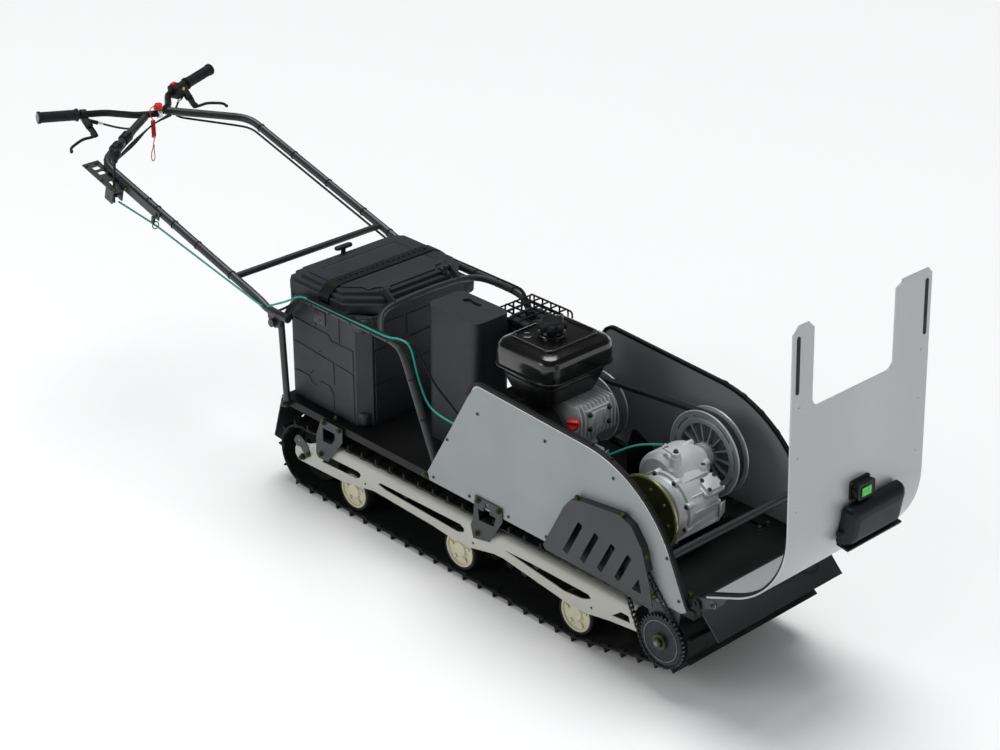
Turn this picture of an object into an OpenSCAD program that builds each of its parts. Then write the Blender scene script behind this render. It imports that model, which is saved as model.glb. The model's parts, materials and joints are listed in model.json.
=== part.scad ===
// Tracked snow tow vehicle with its hood swung open, an engine, a belt and chain drive and a tilting handle.
// Millimetres, +X is forward, +Y is the left side, +Z is up and the track stands on z = 0.

/* [Track and running gear] */
// width of the rubber track
track_width = 500; // [380:10:560]
// number of lugs round the track
lug_count = 57; // [50:1:64]
// distance from lug to lug
lug_pitch = 61; // [50:0.5:64]
// how far a lug stands out of the belt
lug_height = 14; // [8:1:30]
// thickness of the belt
belt_thick = 6; // [4:0.5:10]
// thickness of a lug at its tip
lug_tip = 4; // [2:0.5:8]
// thickness of a lug at its root
lug_root = 9; // [5:0.5:14]
// teeth on each track sprocket
sprocket_teeth = 8; // [7:1:11]
// radius of the rear idler wheels
idler_r = 93.7; // [70:0.5:110]
// height of the drive axle
drive_z = 165; // [140:1:180]
// drive axle, measured from the middle of the vehicle
drive_x = 705; // [600:5:800]
// radius of the road wheels
wheel_r = 63.7; // [50:0.5:80]
// width of a road wheel
wheel_width = 32; // [20:1:60]
// distance between road wheel axles
wheel_pitch = 455; // [300:5:500]
// rearmost road wheel axle
wheel_x = -534; // [-600:1:-400]
// thickness of the slide rails
rail_thick = 3; // [2:0.5:6]
// height of the top of the slide rails
rail_top = 205; // [180:1:215]
// diameter of the fixed axles
axle_d = 20; // [12:1:30]

/* [Deck and panels] */
// how far the deck flanges stand out over the track on each side
deck_out = 1; // [0:0.5:20]
// height of the deck surface
deck_z = 288; // [260:1:320]
// rear edge of the deck
deck_rear = -838; // [-900:1:-700]
// front edge of the deck
deck_front = 800; // [700:1:860]
// thickness of the deck sheet
sheet = 3; // [1.5:0.5:5]
// depth of the deck side flanges
flange = 24; // [15:1:40]
// height of the panel edge over the ground at the rear corner
panel_top = 643; // [560:1:700]
// radius of the front curve of the side panels
panel_curve = 365; // [250:5:420]
// height of the rubber trim over the sheet edge
trim_h = 9; // [5:0.5:14]
// width of the rubber trim
trim_w = 11; // [6:0.5:16]

/* [Hood] */
// how far the hood stands out over the deck on each side
hood_out = 3; // [0:0.5:10]
// thickness of the hood sheet
hood_sheet = 4; // [2:0.5:8]
// hinge axis of the hood, from the middle of the vehicle
hood_hinge_x = 797; // [760:1:840]
// height of the hinge axis
hood_hinge_z = 310; // [290:1:340]
// how far the hood stands open
hood_open = 85; // [0:1:85]
// depth of the notch that clears the fuel tank
notch_depth = 222; // [180:1:260]
// right side of the notch
notch_right = -180; // [-220:1:-120]
// left side of the notch
notch_left = 118; // [80:1:180]
// length of the straight lip at the hinge
lip_length = 101; // [60:1:140]
// bend radius at the foot of the hood
hood_bend = 240; // [150:5:300]

/* [Handle] */
// how far the middle of each handle tube stands outside the deck
handle_out = 30; // [28:1:60]
// diameter of the handle tubes
handle_d = 25; // [18:0.5:34]
// diameter of the handlebar
bar_d = 22; // [19:0.5:28]
// length of a grip
grip_length = 130; // [90:1:150]
// diameter of a grip
grip_d = 35; // [28:0.5:40]
// tilt axis of the handle, from the middle of the vehicle
tilt_x = -812; // [-860:1:-790]
// height of the tilt axis
tilt_z = 545; // [520:1:580]

/* [Engine bay] */
// height of the crankshaft
crank_z = 455; // [420:1:480]
// crankshaft, from the middle of the vehicle
crank_x = 70; // [0:1:140]
// outer radius of the drive pulley
drive_pulley_r = 98; // [70:1:120]
// outer radius of the driven pulley
driven_pulley_r = 122; // [100:1:140]
// driven pulley shaft, from the middle of the vehicle
driven_x = 482; // [440:1:520]
// height of the driven pulley shaft
driven_z = 470; // [440:1:490]
// middle plane of the V-belt
v_plane = 146; // [120:1:170]
// output shaft of the gearbox, from the middle of the vehicle
out_x = 536; // [500:1:560]
// height of the output shaft
out_z = 420; // [400:1:440]
// radius of the brake disc
disc_r = 108; // [90:1:120]
// teeth on the output sprocket
small_teeth = 17; // [11:1:24]
// teeth on the chain wheel of the drive axle
big_teeth = 36; // [28:1:44]
// pitch of the drive chain
chain_pitch = 12.7; // [9.525:0.005:15.875]
// how far the middle of the drive chain stands outside the track
chain_out = 12; // [11:0.5:20]

/* [Cargo box and tank] */
// length of the cargo box
box_length = 332; // [250:2:380]
// half of the width of the cargo box
box_half = 214; // [150:1:230]
// height of the box body over the deck
box_height = 340; // [250:2:380]
// rear face of the cargo box
box_rear = -836; // [-840:1:-760]
// wall of the cargo box
box_wall = 5; // [3:0.5:8]
// length of the fuel tank
tank_length = 226; // [180:2:260]
// width of the fuel tank
tank_width = 260; // [200:2:300]
// height of the tank seam
seam_z = 652; // [630:1:680]

/* [View] */
// which sub-part is drawn

/* [Hidden] */
$fn = 48;

// moves the measured frame so that the part is centred on its own length
x_shift = 403.7;
// half of the width over the deck flanges
deck_half = track_width / 2 + deck_out;
// half of the width of the hood
hood_half = deck_half + hood_out;
// middle of a handle tube
hy = deck_half + handle_out;
// middle plane of the drive chain
chain_plane = -track_width / 2 - chain_out;
// running clearance between moving pieces
run_gap = 0.3;
// seat of a piece against what carries it
seat = 0.2;
// extra length of a cutter
eps = 1;

// filler neck of the engine oil
neck_low = [185, -58, 482];
neck_top = [199, -78, 515];
// diameter of the crankshaft end
crank_d = 25;
// height of the wires over the muffler
guard_low = 664;
// shaft of the selector arm
sel_x = 540;
sel_y = -50;
sel_z = 552;
// cap of the fuel tank
cap_x = 64;
cap_y = -30;
// low corner of the fuel tank
tank_x = -40;
tank_y = -158;
// hinge of the lid
lid_low = deck_z + seat + box_height + 1.8;
lid_hinge_x = box_rear + box_length - 8;
lid_hinge_z = lid_low + 63;
lid_lug_y = 118.4;
// middle of the posts that carry the handle
post_y = hy - 19;
// how far the rear apron leans back
apron_lean = 17;
apron_x = deck_rear - seat - sheet * cos(apron_lean) + 6 * sin(apron_lean);
// height of the upper tubes
frame_top = deck_z + box_height + 4;
// tube that ties the panels together at the front
tie_at = [707, 405];
// start of the nose plate
nose_x = 770;

// colours
charcoal = [0.24, 0.25, 0.26];
black = [0.07, 0.07, 0.08];
light_grey = [0.58, 0.6, 0.59];
silver = [0.66, 0.66, 0.67];
beige = [0.7, 0.7, 0.66];
rubber = [0.12, 0.13, 0.14];
zinc = [0.62, 0.66, 0.5];
cast = [0.75, 0.76, 0.77];
cream = [0.8, 0.78, 0.67];
teal = [0, 0.5, 0.45];
red = [0.85, 0.08, 0.06];
yellow = [0.85, 0.75, 0.1];

// diameter of the drive axle
shaft_d = 30;

// track loop
sprocket_r = sprocket_teeth * lug_pitch / 360 * 180 / PI;
belt_in_s = sprocket_r - belt_thick / 2;
belt_in_i = idler_r + run_gap;
ground_in = lug_height + belt_thick;
idler_z = ground_in + belt_in_i;
road_z = ground_in + run_gap + wheel_r;
last_wheel_x = wheel_x + 2 * wheel_pitch;
loop_length = lug_count * lug_pitch;
ni = belt_in_i + belt_thick / 2;
ns = sprocket_r;
low_z = ground_in - belt_thick / 2;
// straight upper run: angle and length between two circles on the same side
function up_angle(ix) = atan2(drive_z - idler_z, drive_x - ix)
  + asin((ni - ns) / norm([drive_x - ix, drive_z - idler_z])) * -1;
function up_len(ix) = sqrt(pow(norm([drive_x - ix, drive_z - idler_z]), 2) - pow(ni - ns, 2));
nw = road_z - low_z;
rise_v = [drive_x - last_wheel_x, drive_z - road_z];
rise_len = sqrt(rise_v * rise_v - pow(ns - nw, 2));
rise_angle = atan2(rise_v[1], rise_v[0]) - asin((ns - nw) / norm(rise_v));
function loop_at(ix) = up_len(ix) + (last_wheel_x - ix) + rise_len + nw * PI / 180 * rise_angle
  + ni * PI / 180 * (180 + up_angle(ix)) + ns * PI / 180 * (180 + up_angle(ix) - rise_angle);
function settle(ix) = ix + (loop_at(ix) - loop_length) / 2;
idler_x = settle(settle(settle(-756)));
up = up_angle(idler_x);
// ends of the parts of the loop: upper run, sprocket, rise, last wheel, lower run
end_up = up_len(idler_x);
end_sprocket = end_up + ns * PI / 180 * (180 + up - rise_angle);
end_rise = end_sprocket + rise_len;
end_wheel = end_rise + nw * PI / 180 * rise_angle;
end_low = end_wheel + last_wheel_x - idler_x;
idler_c = [idler_x, idler_z];
drive_c = [drive_x, drive_z];
wheel_c = [last_wheel_x, road_z];
function ray(a) = [cos(a), sin(a)];

// place on the track loop: position and outward angle at a distance along the belt
function loop_pose(s) =
  s < end_up ? [idler_c + ni * ray(up + 90) + s * ray(up), up + 90]
  : s < end_sprocket ? let (a = up + 90 - (s - end_up) / ns * 180 / PI) [drive_c + ns * ray(a), a]
  : s < end_rise
    ? [drive_c + ns * ray(rise_angle - 90) - (s - end_sprocket) * ray(rise_angle), rise_angle - 90]
  : s < end_wheel
    ? let (a = rise_angle - 90 - (s - end_rise) / nw * 180 / PI) [wheel_c + nw * ray(a), a]
  : s < end_low ? [[last_wheel_x - (s - end_wheel), low_z], -90]
  : let (a = -90 - (s - end_low) / ni * 180 / PI) [idler_c + ni * ray(a), a];
function on_wheel(s) = (s > end_up && s < end_sprocket) || (s > end_rise && s < end_wheel) || s > end_low;
function belt_point(s, g) = let (q = loop_pose(s)) q[0] + g * ray(q[1]);
function arc_run(c, r, a0, a1) =
  let (m = ceil(abs(a1 - a0) / 3)) [for (k = [0 : m]) c + r * ray(a0 + (a1 - a0) * k / m)];

// side panel outline: outer trim line, its arcs and lines
arc_c = [397, panel_top - 19.4 - panel_curve];
slope_a = -3;
front_a = -64.6;
corner_r = 45;
rear_a = 59.8;
corner_c = [24.5, panel_top - 44.4];
panel_low = 268;
rear_low_x = -183;
front_low = [786, 282];
front_step = [770, 268];
arc_from = slope_a + 90;
arc_to = front_a + 90;
arc_start = arc_c + panel_curve * [cos(arc_from), sin(arc_from)];
arc_end = arc_c + panel_curve * [cos(arc_to), sin(arc_to)];
corner_top = corner_c + corner_r * [cos(arc_from), sin(arc_from)];
corner_back = corner_c + corner_r * [cos(rear_a + 90), sin(rear_a + 90)];

// chain geometry
chain_big = chain_pitch / 2 / sin(180 / big_teeth);
chain_small = chain_pitch / 2 / sin(180 / small_teeth);
chain_v = [out_x - drive_x, out_z - drive_z];
chain_d = norm(chain_v);
chain_a = atan2(chain_v[1], chain_v[0]);
chain_b = asin((chain_big - chain_small) / chain_d);

function unit(v) = v / norm(v);

// rounds the corners of a route of points
function route(p, cut, n = 5) = [
  p[0],
  for (i = [1 : len(p) - 2])
    let (
      back = min(cut, norm(p[i - 1] - p[i]) * 0.45),
      ahead = min(cut, norm(p[i + 1] - p[i]) * 0.45),
      a = p[i] + unit(p[i - 1] - p[i]) * back,
      b = p[i] + unit(p[i + 1] - p[i]) * ahead
    )
    for (k = [0 : n])
      let (t = k / n)
      a * (1 - t) * (1 - t) + p[i] * 2 * t * (1 - t) + b * t * t,
  p[len(p) - 1]
];
function tangents(p) = [
  for (i = [0 : len(p) - 1]) unit(p[min(i + 1, len(p) - 1)] - p[max(i - 1, 0)])
];
function first_side(t) = unit(cross(t, abs(t[2]) < 0.9 ? [0, 0, 1] : [1, 0, 0]));
function carry(t, s) = unit(s - t * (s * t));
function sides(t, i = 0, out = []) =
  i == len(t) ? out : sides(t, i + 1, concat(out, [i == 0 ? first_side(t[0]) : carry(t[i], out[i - 1])]));

// round bar along a list of points
module tube(p, d, n = 10) {
  t = tangents(p);
  s = sides(t);
  m = len(p);
  pts = [
    for (i = [0 : m - 1])
      let (u = s[i], w = cross(t[i], s[i]))
      for (k = [0 : n - 1]) p[i] + (u * cos(360 * k / n) + w * sin(360 * k / n)) * d / 2
  ];
  low = [for (i = [0 : m - 2]) for (k = [0 : n - 1]) [i * n + k, (i + 1) * n + k, (i + 1) * n + (k + 1) % n]];
  high = [for (i = [0 : m - 2]) for (k = [0 : n - 1]) [i * n + k, (i + 1) * n + (k + 1) % n, i * n + (k + 1) % n]];
  start = [[for (k = [0 : n - 1]) k]];
  end = [[for (k = [n - 1 : -1 : 0]) (m - 1) * n + k]];
  polyhedron(points = pts, faces = concat(start, low, high, end), convexity = 8);
}

// puts a module in the shared frame
module place() {
  translate([x_shift, 0, 0]) children();
}

// draws a piece and its mirror image on the other side
module both() {
  children();
  mirror([0, 1, 0]) children();
}

// upright plate: a drawing in x and z, from y over a thickness
module upright(y, t) {
  translate([0, y + t, 0]) rotate([90, 0, 0]) linear_extrude(t) children();
}

// bar along y from y0 to y1 at x and z
module across(x, z, y0, y1, d) {
  translate([x, y1, z]) rotate([90, 0, 0]) cylinder(d = d, h = y1 - y0);
}

// straight round bar between two points
module bar(a, b, d) {
  v = b - a;
  translate(a) rotate([0, acos(v[2] / norm(v)), atan2(v[1], v[0])]) cylinder(d = d, h = norm(v));
}

// rectangle with round corners, its low corner at the origin
module soft_rect(w, h, r) {
  translate([r, 0]) square([w - 2 * r, h]);
  translate([0, r]) square([w, h - 2 * r]);
  for (x = [r, w - r])
    for (y = [r, h - r])
      translate([x, y]) circle(r);
}

// one edge of a bent sheet: points along straight lengths and bends, at a distance from its middle
function trail(steps, off, i = 0, p = [0, 0], a = 0) =
  i == len(steps) ? [p + off * [sin(a), cos(a)]]
  : steps[i][0] == "run"
    ? concat([p + off * [sin(a), cos(a)]], trail(steps, off, i + 1, p + steps[i][1] * [cos(a), -sin(a)], a))
  : let (r = steps[i][1], t = steps[i][2], c = p - r * [sin(a), cos(a)], m = ceil(abs(t) / 3))
    concat([for (k = [0 : m - 1]) c + (r + off) * [sin(a + t * k / m), cos(a + t * k / m)]],
      trail(steps, off, i + 1, c + r * [sin(a + t), cos(a + t)], a + t));

// sheet that follows straight lengths and bends in the x and z plane
module sheet_path(steps, w, t) {
  high = trail(steps, t / 2);
  low = trail(steps, -t / 2);
  upright(-w / 2, w) polygon(concat(high, [for (i = [len(low) - 1 : -1 : 0]) low[i]]));
}

// bolt head with a washer, its axis along y, head towards -y
module side_bolt(x, y, z, d = 8) {
  translate([x, y, z]) rotate([90, 0, 0]) {
    cylinder(d = d * 2, h = 1.2);
    cylinder(d = d * 1.6, h = d * 0.7, $fn = 6);
  }
}

module deck() color(charcoal) place() {
  rail_len = 250;
  translate([deck_rear, -deck_half, deck_z - sheet])
    cube([deck_front - deck_rear, 2 * deck_half, sheet]);
  both() translate([deck_rear, deck_half - sheet, deck_z - flange])
    cube([deck_front - deck_rear, sheet, flange]);
  translate([deck_rear, -deck_half, deck_z - flange]) cube([sheet, 2 * deck_half, flange]);
  translate([deck_front - sheet, -deck_half, deck_z - flange]) cube([sheet, 2 * deck_half, flange]);
  for (y = [-112, 52])
    translate([-42, y, deck_z - eps]) cube([rail_len, 44, 36 + eps]);
  for (y = [-112, 74])
    translate([440, y, deck_z - eps]) cube([150, 30, 37 + eps]);
  upright(100, sheet)
    polygon([[232, deck_z - eps], [226, 400], [246, 462], [262, 468], [318, 440], [372, deck_z - eps]]);
  translate([560, -deck_half + 30, deck_z - eps]) cube([24, 2 * deck_half - 60, 19]);
  both() translate([588, 190, deck_z - eps]) cube([52, 24, 8]);
  hinge_posts();
}

module rear_apron() color(charcoal) place() {
  drop = 192;
  cut = 38;
  translate([apron_x, 0, deck_z - 4]) rotate([0, apron_lean, 0])
    rotate([90, 0, 90]) linear_extrude(sheet) difference() {
      polygon([[-deck_half, -6], [deck_half, -6], [deck_half, -drop + cut], [deck_half - cut, -drop],
        [-deck_half + cut, -drop], [-deck_half, -drop + cut]]);
      for (y = [-150, 150]) translate([y, -120]) circle(6);
    }
}

module nose_plate() color(charcoal) place() {
  translate([nose_x, 0, deck_z + seat + sheet / 2])
    sheet_path([["run", 42], ["bend", 8, 45], ["run", 82]], 2 * deck_half - 22, sheet);
}

module panel_face(g) {
  steps = 32;
  foot = front_low - g * [cos(arc_to), sin(arc_to)];
  polygon(concat(
    [[rear_low_x, panel_low], front_step - [g, 0], foot],
    [for (i = [0 : steps]) let (a = arc_to + (arc_from - arc_to) * i / steps)
      arc_c + (panel_curve - g) * [cos(a), sin(a)]],
    [for (i = [0 : 12]) let (a = arc_from + (rear_a + 90 - arc_from) * i / 12)
      corner_c + (corner_r - g) * [cos(a), sin(a)]],
    [[rear_low_x - 8, panel_low + 24]]));
}

panel_screw_points = [[-166, 284], [-20, 284], [134, 284], [278, 284], [-108, 424], [14, 548],
  [270, 566], [516, 556], tie_at, [752, 300]];

module side_panels() color(light_grey) place() {
  y = deck_half + seat;
  upright(y, sheet) panel_face(trim_h + seat);
  upright(-y - sheet, sheet) difference() {
    panel_face(trim_h + seat);
    translate([out_x, out_z]) circle(28);
  }
}

module edge_trims() color(rubber) place() {
  y = deck_half + seat + sheet / 2;
  straight = norm(arc_start - corner_top);
  tail = norm(front_low - arc_end) - 12;
  nose = corner_back - 30 * [cos(rear_a), sin(rear_a)];
  r = trim_h / 2;
  both() translate([nose[0] + r * sin(rear_a), y, nose[1] - r * cos(rear_a)]) rotate([0, -rear_a, 0])
    sheet_path([["run", 30], ["bend", corner_r - r, rear_a - slope_a], ["run", straight],
      ["bend", panel_curve - r, slope_a - front_a], ["run", tail]], trim_w, trim_h);
}

rail_outline = [[-782, 146], [-774, 164], [-723, 168], [-689, 183], [596, 183], [612, 140],
  [512, 128], [423, 111], [340, 112], [105, 140], [69, 138], [-28, 116], [-123, 116], [-181, 121],
  [-420, 128], [-440, 127], [-484, 118], [-575, 102], [-723, 97], [-776, 96], [-790, 112], [-789, 130]];
rail_window_1 = [[-664, 131], [-512, 138], [-494, 146], [-489, 158], [-500, 164], [-623, 160], [-652, 148]];
rail_window_2 = [[-414, 158], [-400, 166], [-66, 174], [-50, 166], [-52, 154], [-78, 145], [-380, 152]];
rail_window_3 = [[110, 168], [221, 172], [430, 172], [441, 163], [420, 153], [404, 148], [340, 142]];
rail_window_4 = [[516, 147], [548, 172], [576, 172], [582, 154]];

module slide_rails() color(beige) place() {
  y = track_width / 2 - 2 - rail_thick;
  bend_r = 22;
  both() {
    upright(y, rail_thick) difference() {
      polygon(rail_outline);
      polygon(rail_window_1);
      polygon(rail_window_2);
      polygon(rail_window_3);
      polygon(rail_window_4);
      for (x = [-470, -14, 442]) translate([x, 136]) circle(4);
      translate([idler_x, idler_z]) circle(axle_d / 2 + seat);
    }
    intersection() {
      translate([-689, y + rail_thick - bend_r, rail_top - bend_r]) rotate([0, 90, 0]) difference() {
        cylinder(r = bend_r, h = 1285);
        translate([0, 0, -eps]) cylinder(r = bend_r - rail_thick, h = 1285 + 2 * eps);
      }
      translate([-690, y + rail_thick - bend_r, rail_top - bend_r]) cube([1287, bend_r + eps, bend_r + eps]);
    }
    translate([-689, y + rail_thick - bend_r - 20, rail_top - rail_thick]) cube([1285, 20, rail_thick]);
  }
}

module hangers() color(charcoal) place() {
  y = deck_half + 4.6;
  low_y = track_width / 2 - 2 + seat;
  both() {
    upright(y, sheet) difference() {
      polygon([[-648, 284], [-553, 284], [-556, 238], [-612, 168], [-624, 150], [-668, 148], [-678, 160],
        [-674, 222]]);
      polygon([[-642, 256], [-590, 256], [-588, 236], [-606, 214], [-644, 212]]);
    }
    across(-656, 165, low_y, y + eps, 18);
    for (x = [-636, -568]) across(x, 275, deck_half + seat, y + eps, 12);
    upright(y, sheet) difference() {
      polygon([[6, 300], [112, 300], [114, 258], [62, 176], [-2, 162], [-12, 200], [-2, 226]]);
      polygon([[18, 262], [40, 262], [40, 276], [64, 276], [64, 262], [88, 262], [80, 232], [22, 228]]);
      translate([52, 286]) circle(7);
    }
    across(14, 184, low_y, y + eps, 18);
    for (x = [18, 100]) across(x, 288, deck_half + 3.4 + seat, y + eps, 9);
    upright(deck_half + seat, sheet) difference() {
      polygon([[drive_x - 62, deck_z - 20.4], [drive_x + 52, deck_z - 20.4], [drive_x + 40, drive_z - 12],
        [drive_x + 18, drive_z - 32], [drive_x - 18, drive_z - 32], [drive_x - 40, drive_z - 12]]);
      translate([drive_x, drive_z]) circle(d = shaft_d + 0.2);
    }
    upright(low_y, 2.4) difference() {
      polygon([[-790, 156], [-780, 176], [-764, 182], [-744, 174], [-726, 158], [-719, 138], [-726, 122],
        [-740, 112], [-748, 130], [-762, 144], [-778, 142]]);
      translate([-770, 162]) circle(5);
    }
  }
}

module wheel_axles() color(charcoal) place() {
  half = track_width / 2 - 22;
  arm = 7;
  for (k = [0 : 2]) {
    x = wheel_x + k * wheel_pitch;
    across(x, road_z, -half, half, axle_d);
    both() upright(track_width / 2 - 70, arm)
      polygon([[x - 34, rail_top - 2], [x + 34, rail_top - 2], [x + 14, road_z - 14], [x - 14, road_z - 14]]);
    both() translate([x - 34, track_width / 2 - 70, rail_top - sheet - 6 - seat]) cube([68, 42, 6]);
  }
  across(idler_x, idler_z, -track_width / 2 - 3, track_width / 2 + 3, axle_d);
  across(-300, 170, -track_width / 2 + 5.2, track_width / 2 - 5.2, 24);
  across(230, 170, -track_width / 2 + 5.2, track_width / 2 - 5.2, 24);
}

belt_half = belt_thick / 2;
belt_inside = concat(
  arc_run(drive_c, ns - belt_half, up + 90, rise_angle - 90),
  arc_run(wheel_c, nw - belt_half, rise_angle - 90, -90),
  arc_run(idler_c, ni - belt_half, -90, up - 270));
belt_outside = [
  for (i = [0 : lug_count - 1])
    let (c = (i + 0.5) * lug_pitch, q = loop_pose(c), n = ray(q[1]), t = [n[1], -n[0]])
    each concat(
      [belt_point(c - lug_root / 2, belt_half)],
      [for (k = [-1, 1]) q[0] + (belt_half + lug_height) * n + k * lug_tip / 2 * t],
      [belt_point(c + lug_root / 2, belt_half)],
      [for (k = [1 : 5]) let (s = c + lug_root / 2 + k * (lug_pitch - lug_root) / 6) if (on_wheel(s))
        belt_point(s, belt_half)])
];

module track() color(rubber) place() {
  w = track_width;
  upright(-w / 2, w) difference() {
    polygon(belt_outside);
    polygon(belt_inside);
  }
}

module wheel_pair(x, z, r, inner) {
  outer = track_width / 2 - 9;
  both() {
    difference() {
      across(x, z, outer - wheel_width, outer, 2 * r);
      across(x, z, outer - 5, outer + eps, 2 * r - 34);
      across(x, z, outer - wheel_width - eps, outer - wheel_width + 8, 2 * r - 34);
      across(x, z, outer - wheel_width - eps, outer - 8, axle_d + 2 * inner);
    }
    across(x, z, outer - 6, outer, 44);
    for (k = [0 : 4]) {
      a = 72 * k + 20;
      translate([x + 35 * cos(a), outer - 2, z + 35 * sin(a)]) rotate([90, 0, 0]) cylinder(d = 9, h = 4, $fn = 6);
    }
  }
}

module bogie_rear() color(cream) place() wheel_pair(wheel_x, road_z, wheel_r, 0.1);
module bogie_mid() color(cream) place() wheel_pair(wheel_x + wheel_pitch, road_z, wheel_r, 0.1);
module bogie_front() color(cream) place() wheel_pair(last_wheel_x, road_z, wheel_r, 0.1);

module idler_wheels() color(rubber) place() {
  both() difference() {
    across(idler_x, idler_z, 150, 190, 2 * idler_r);
    across(idler_x, idler_z, 182, 191, 2 * idler_r - 36);
    across(idler_x, idler_z, 149, 158, 2 * idler_r - 36);
    across(idler_x, idler_z, 149, 191, axle_d + 0.2);
    for (k = [0 : 5]) {
      a = 60 * k;
      across(idler_x + 52 * cos(a), idler_z + 52 * sin(a), 149, 191, 26);
    }
  }
  difference() {
    across(idler_x, idler_z, -151, 151, 44);
    across(idler_x, idler_z, -152, 152, axle_d + 0.2);
  }
}

module star(teeth, r_low, r_high, share) {
  circle(r_low, $fn = 96);
  for (k = [0 : teeth - 1])
    rotate(360 / teeth * k)
      polygon([[0, -r_low * sin(180 / teeth) * share * 1.5], [r_low, -r_low * sin(180 / teeth) * share * 1.4],
        [r_high, -r_low * sin(180 / teeth) * share * 0.6], [r_high, r_low * sin(180 / teeth) * share * 0.6],
        [r_low, r_low * sin(180 / teeth) * share * 1.4], [0, r_low * sin(180 / teeth) * share * 1.5]]);
}

module drive_shaft() color(charcoal) place() {
  reach = belt_in_s - run_gap - 0.8;
  for (y = [-150, -14, 122])
    upright(y, 28) translate([drive_x, drive_z]) difference() {
      rotate(up + 90 - 22.5) star(sprocket_teeth, reach - 14, reach, 0.5);
      for (k = [0 : 7]) rotate(45 * k) translate([40, 0]) circle(8, $fn = 24);
    }
  across(drive_x, drive_z, chain_plane - 12, deck_half + 8, shaft_d);
  upright(chain_plane - 3, 6) translate([drive_x, drive_z])
    star(big_teeth, chain_big - 4.6, chain_big + 3, 0.5);
  across(drive_x, drive_z, chain_plane - 7, chain_plane, 46);
}

module output_shaft() color(charcoal) place() {
  across(out_x, out_z, chain_plane - 10, -118.5, 25);
  upright(chain_plane - 3, 6) translate([out_x, out_z])
    star(small_teeth, chain_small - 4.6, chain_small + 3, 0.5);
  across(out_x, out_z, chain_plane - 8, chain_plane, 40);
}

module brake_disc() color([0.33, 0.36, 0.24]) place() {
  difference() {
    across(out_x, out_z, -152, -146, 2 * disc_r);
    across(out_x, out_z, -153, -145, 25.2);
    for (k = [0 : 8]) {
      a = 40 * k;
      across(out_x + 80 * cos(a), out_z + 80 * sin(a), -153, -145, 9);
    }
  }
  difference() {
    across(out_x, out_z, -168, -151.9, 60);
    across(out_x, out_z, -169, -150, 25.2);
  }
}

// chain link plates: two flat loops beside the sprockets and rollers on the free runs
module chain_loop(g) {
  c1 = [drive_x, drive_z];
  c2 = [out_x, out_z];
  r1 = chain_big + g;
  r2 = chain_small + g;
  translate(c1) circle(r1, $fn = 96);
  translate(c2) circle(r2, $fn = 96);
  a1 = chain_a + 90 - chain_b;
  a2 = chain_a - 90 + chain_b;
  polygon([c1 + r1 * [cos(a1), sin(a1)], c2 + r2 * [cos(a1), sin(a1)], c2,
    c2 + r2 * [cos(a2), sin(a2)], c1 + r1 * [cos(a2), sin(a2)], c1]);
}

module drive_chain() color(charcoal) place() {
  free = sqrt(chain_d * chain_d - pow(chain_big - chain_small, 2));
  skip = 34;
  count = floor((free - 2 * skip) / chain_pitch);
  for (y = [chain_plane - 6.6, chain_plane + 4])
    upright(y, 2.6) difference() {
      chain_loop(4.4);
      chain_loop(-4.4);
    }
  for (s = [-1, 1]) {
    a = chain_a + s * (90 - chain_b);
    d = [cos(a - s * 90), sin(a - s * 90)];
    for (i = [0 : count]) {
      p = [drive_x, drive_z] + chain_big * [cos(a), sin(a)] + (skip + i * chain_pitch) * d;
      across(p[0], p[1], chain_plane - 5, chain_plane + 5, 7.6);
    }
  }
}

module chain_guard() color(charcoal) place() {
  y = chain_plane - 16;
  back = -deck_half - seat - sheet - seat;
  face = [[290, 276], [364, 420], [390, 452], [428, 462], [560, 478], [604, 462], [640, 416], [672, 320],
    [684, 262], [668, 252], [560, 262], [300, 264]];
  inner = [[304, 262], [377, 414], [397, 441], [431, 450], [558, 466], [597, 451], [630, 408], [648, 356],
    [720, 340], [720, 220], [560, 240], [310, 240]];
  difference() {
    upright(y, back - y) polygon(face);
    upright(y + 2.5, back - y) polygon(inner);
    for (k = [0 : 3])
      upright(y - eps, 5) translate([372 + 62 * k, 288]) rotate(-27)
        translate([-9, 0]) soft_rect(18, 120 - 8 * k, 5);
    upright(y - eps, 5) polygon([[612, 284], [646, 284], [634, 322]]);
  }
}

module tube_frame() color(charcoal) place() {
  y = deck_half - 15;
  top = frame_top;
  back = box_rear + box_length;
  d = 22;
  both() {
    tube(route([[-758, y, top - 6], [-700, y, top], [-330, y, top - 2], [-300, y, 600], [-168, y, deck_z + 9]],
      60), d, 12);
    across(-168, deck_z + 9 + seat, y - 14, y + 12, 18);
  }
  tube(route([[back + 104, -y, top], [back + 34, -y + 60, top + 30], [back + 26, 0, top + 34],
    [back + 34, y - 60, top + 30], [back + 104, y, top]], 70), 19, 12);
  both() {
    bar([-800, post_y, deck_z], [tilt_x, post_y, tilt_z], 20);
    across(-800, deck_z - 8, deck_half + seat, post_y + 10, 22);
    upright(lid_lug_y, 6) difference() {
      translate([lid_hinge_x, lid_hinge_z]) difference() {
        polygon([[-8, -5], [-2, 8], [7, 8], [44, -19], [44, -35], [28, -35]]);
        circle(d = 6);
      }
    }
    across(lid_hinge_x, lid_hinge_z, lid_lug_y - 15, lid_lug_y + 6, 6);
  }
  both() across(tilt_x, tilt_z, deck_half - 25, hy + 19, 24);
  both() tube(route([[tilt_x, y + 10, tilt_z + 2], [-782, y + 4, top - 36], [-758, y, top - 6]], 30), 20, 10);
  across(tie_at[0], tie_at[1], -deck_half, deck_half, 22);
}

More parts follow.
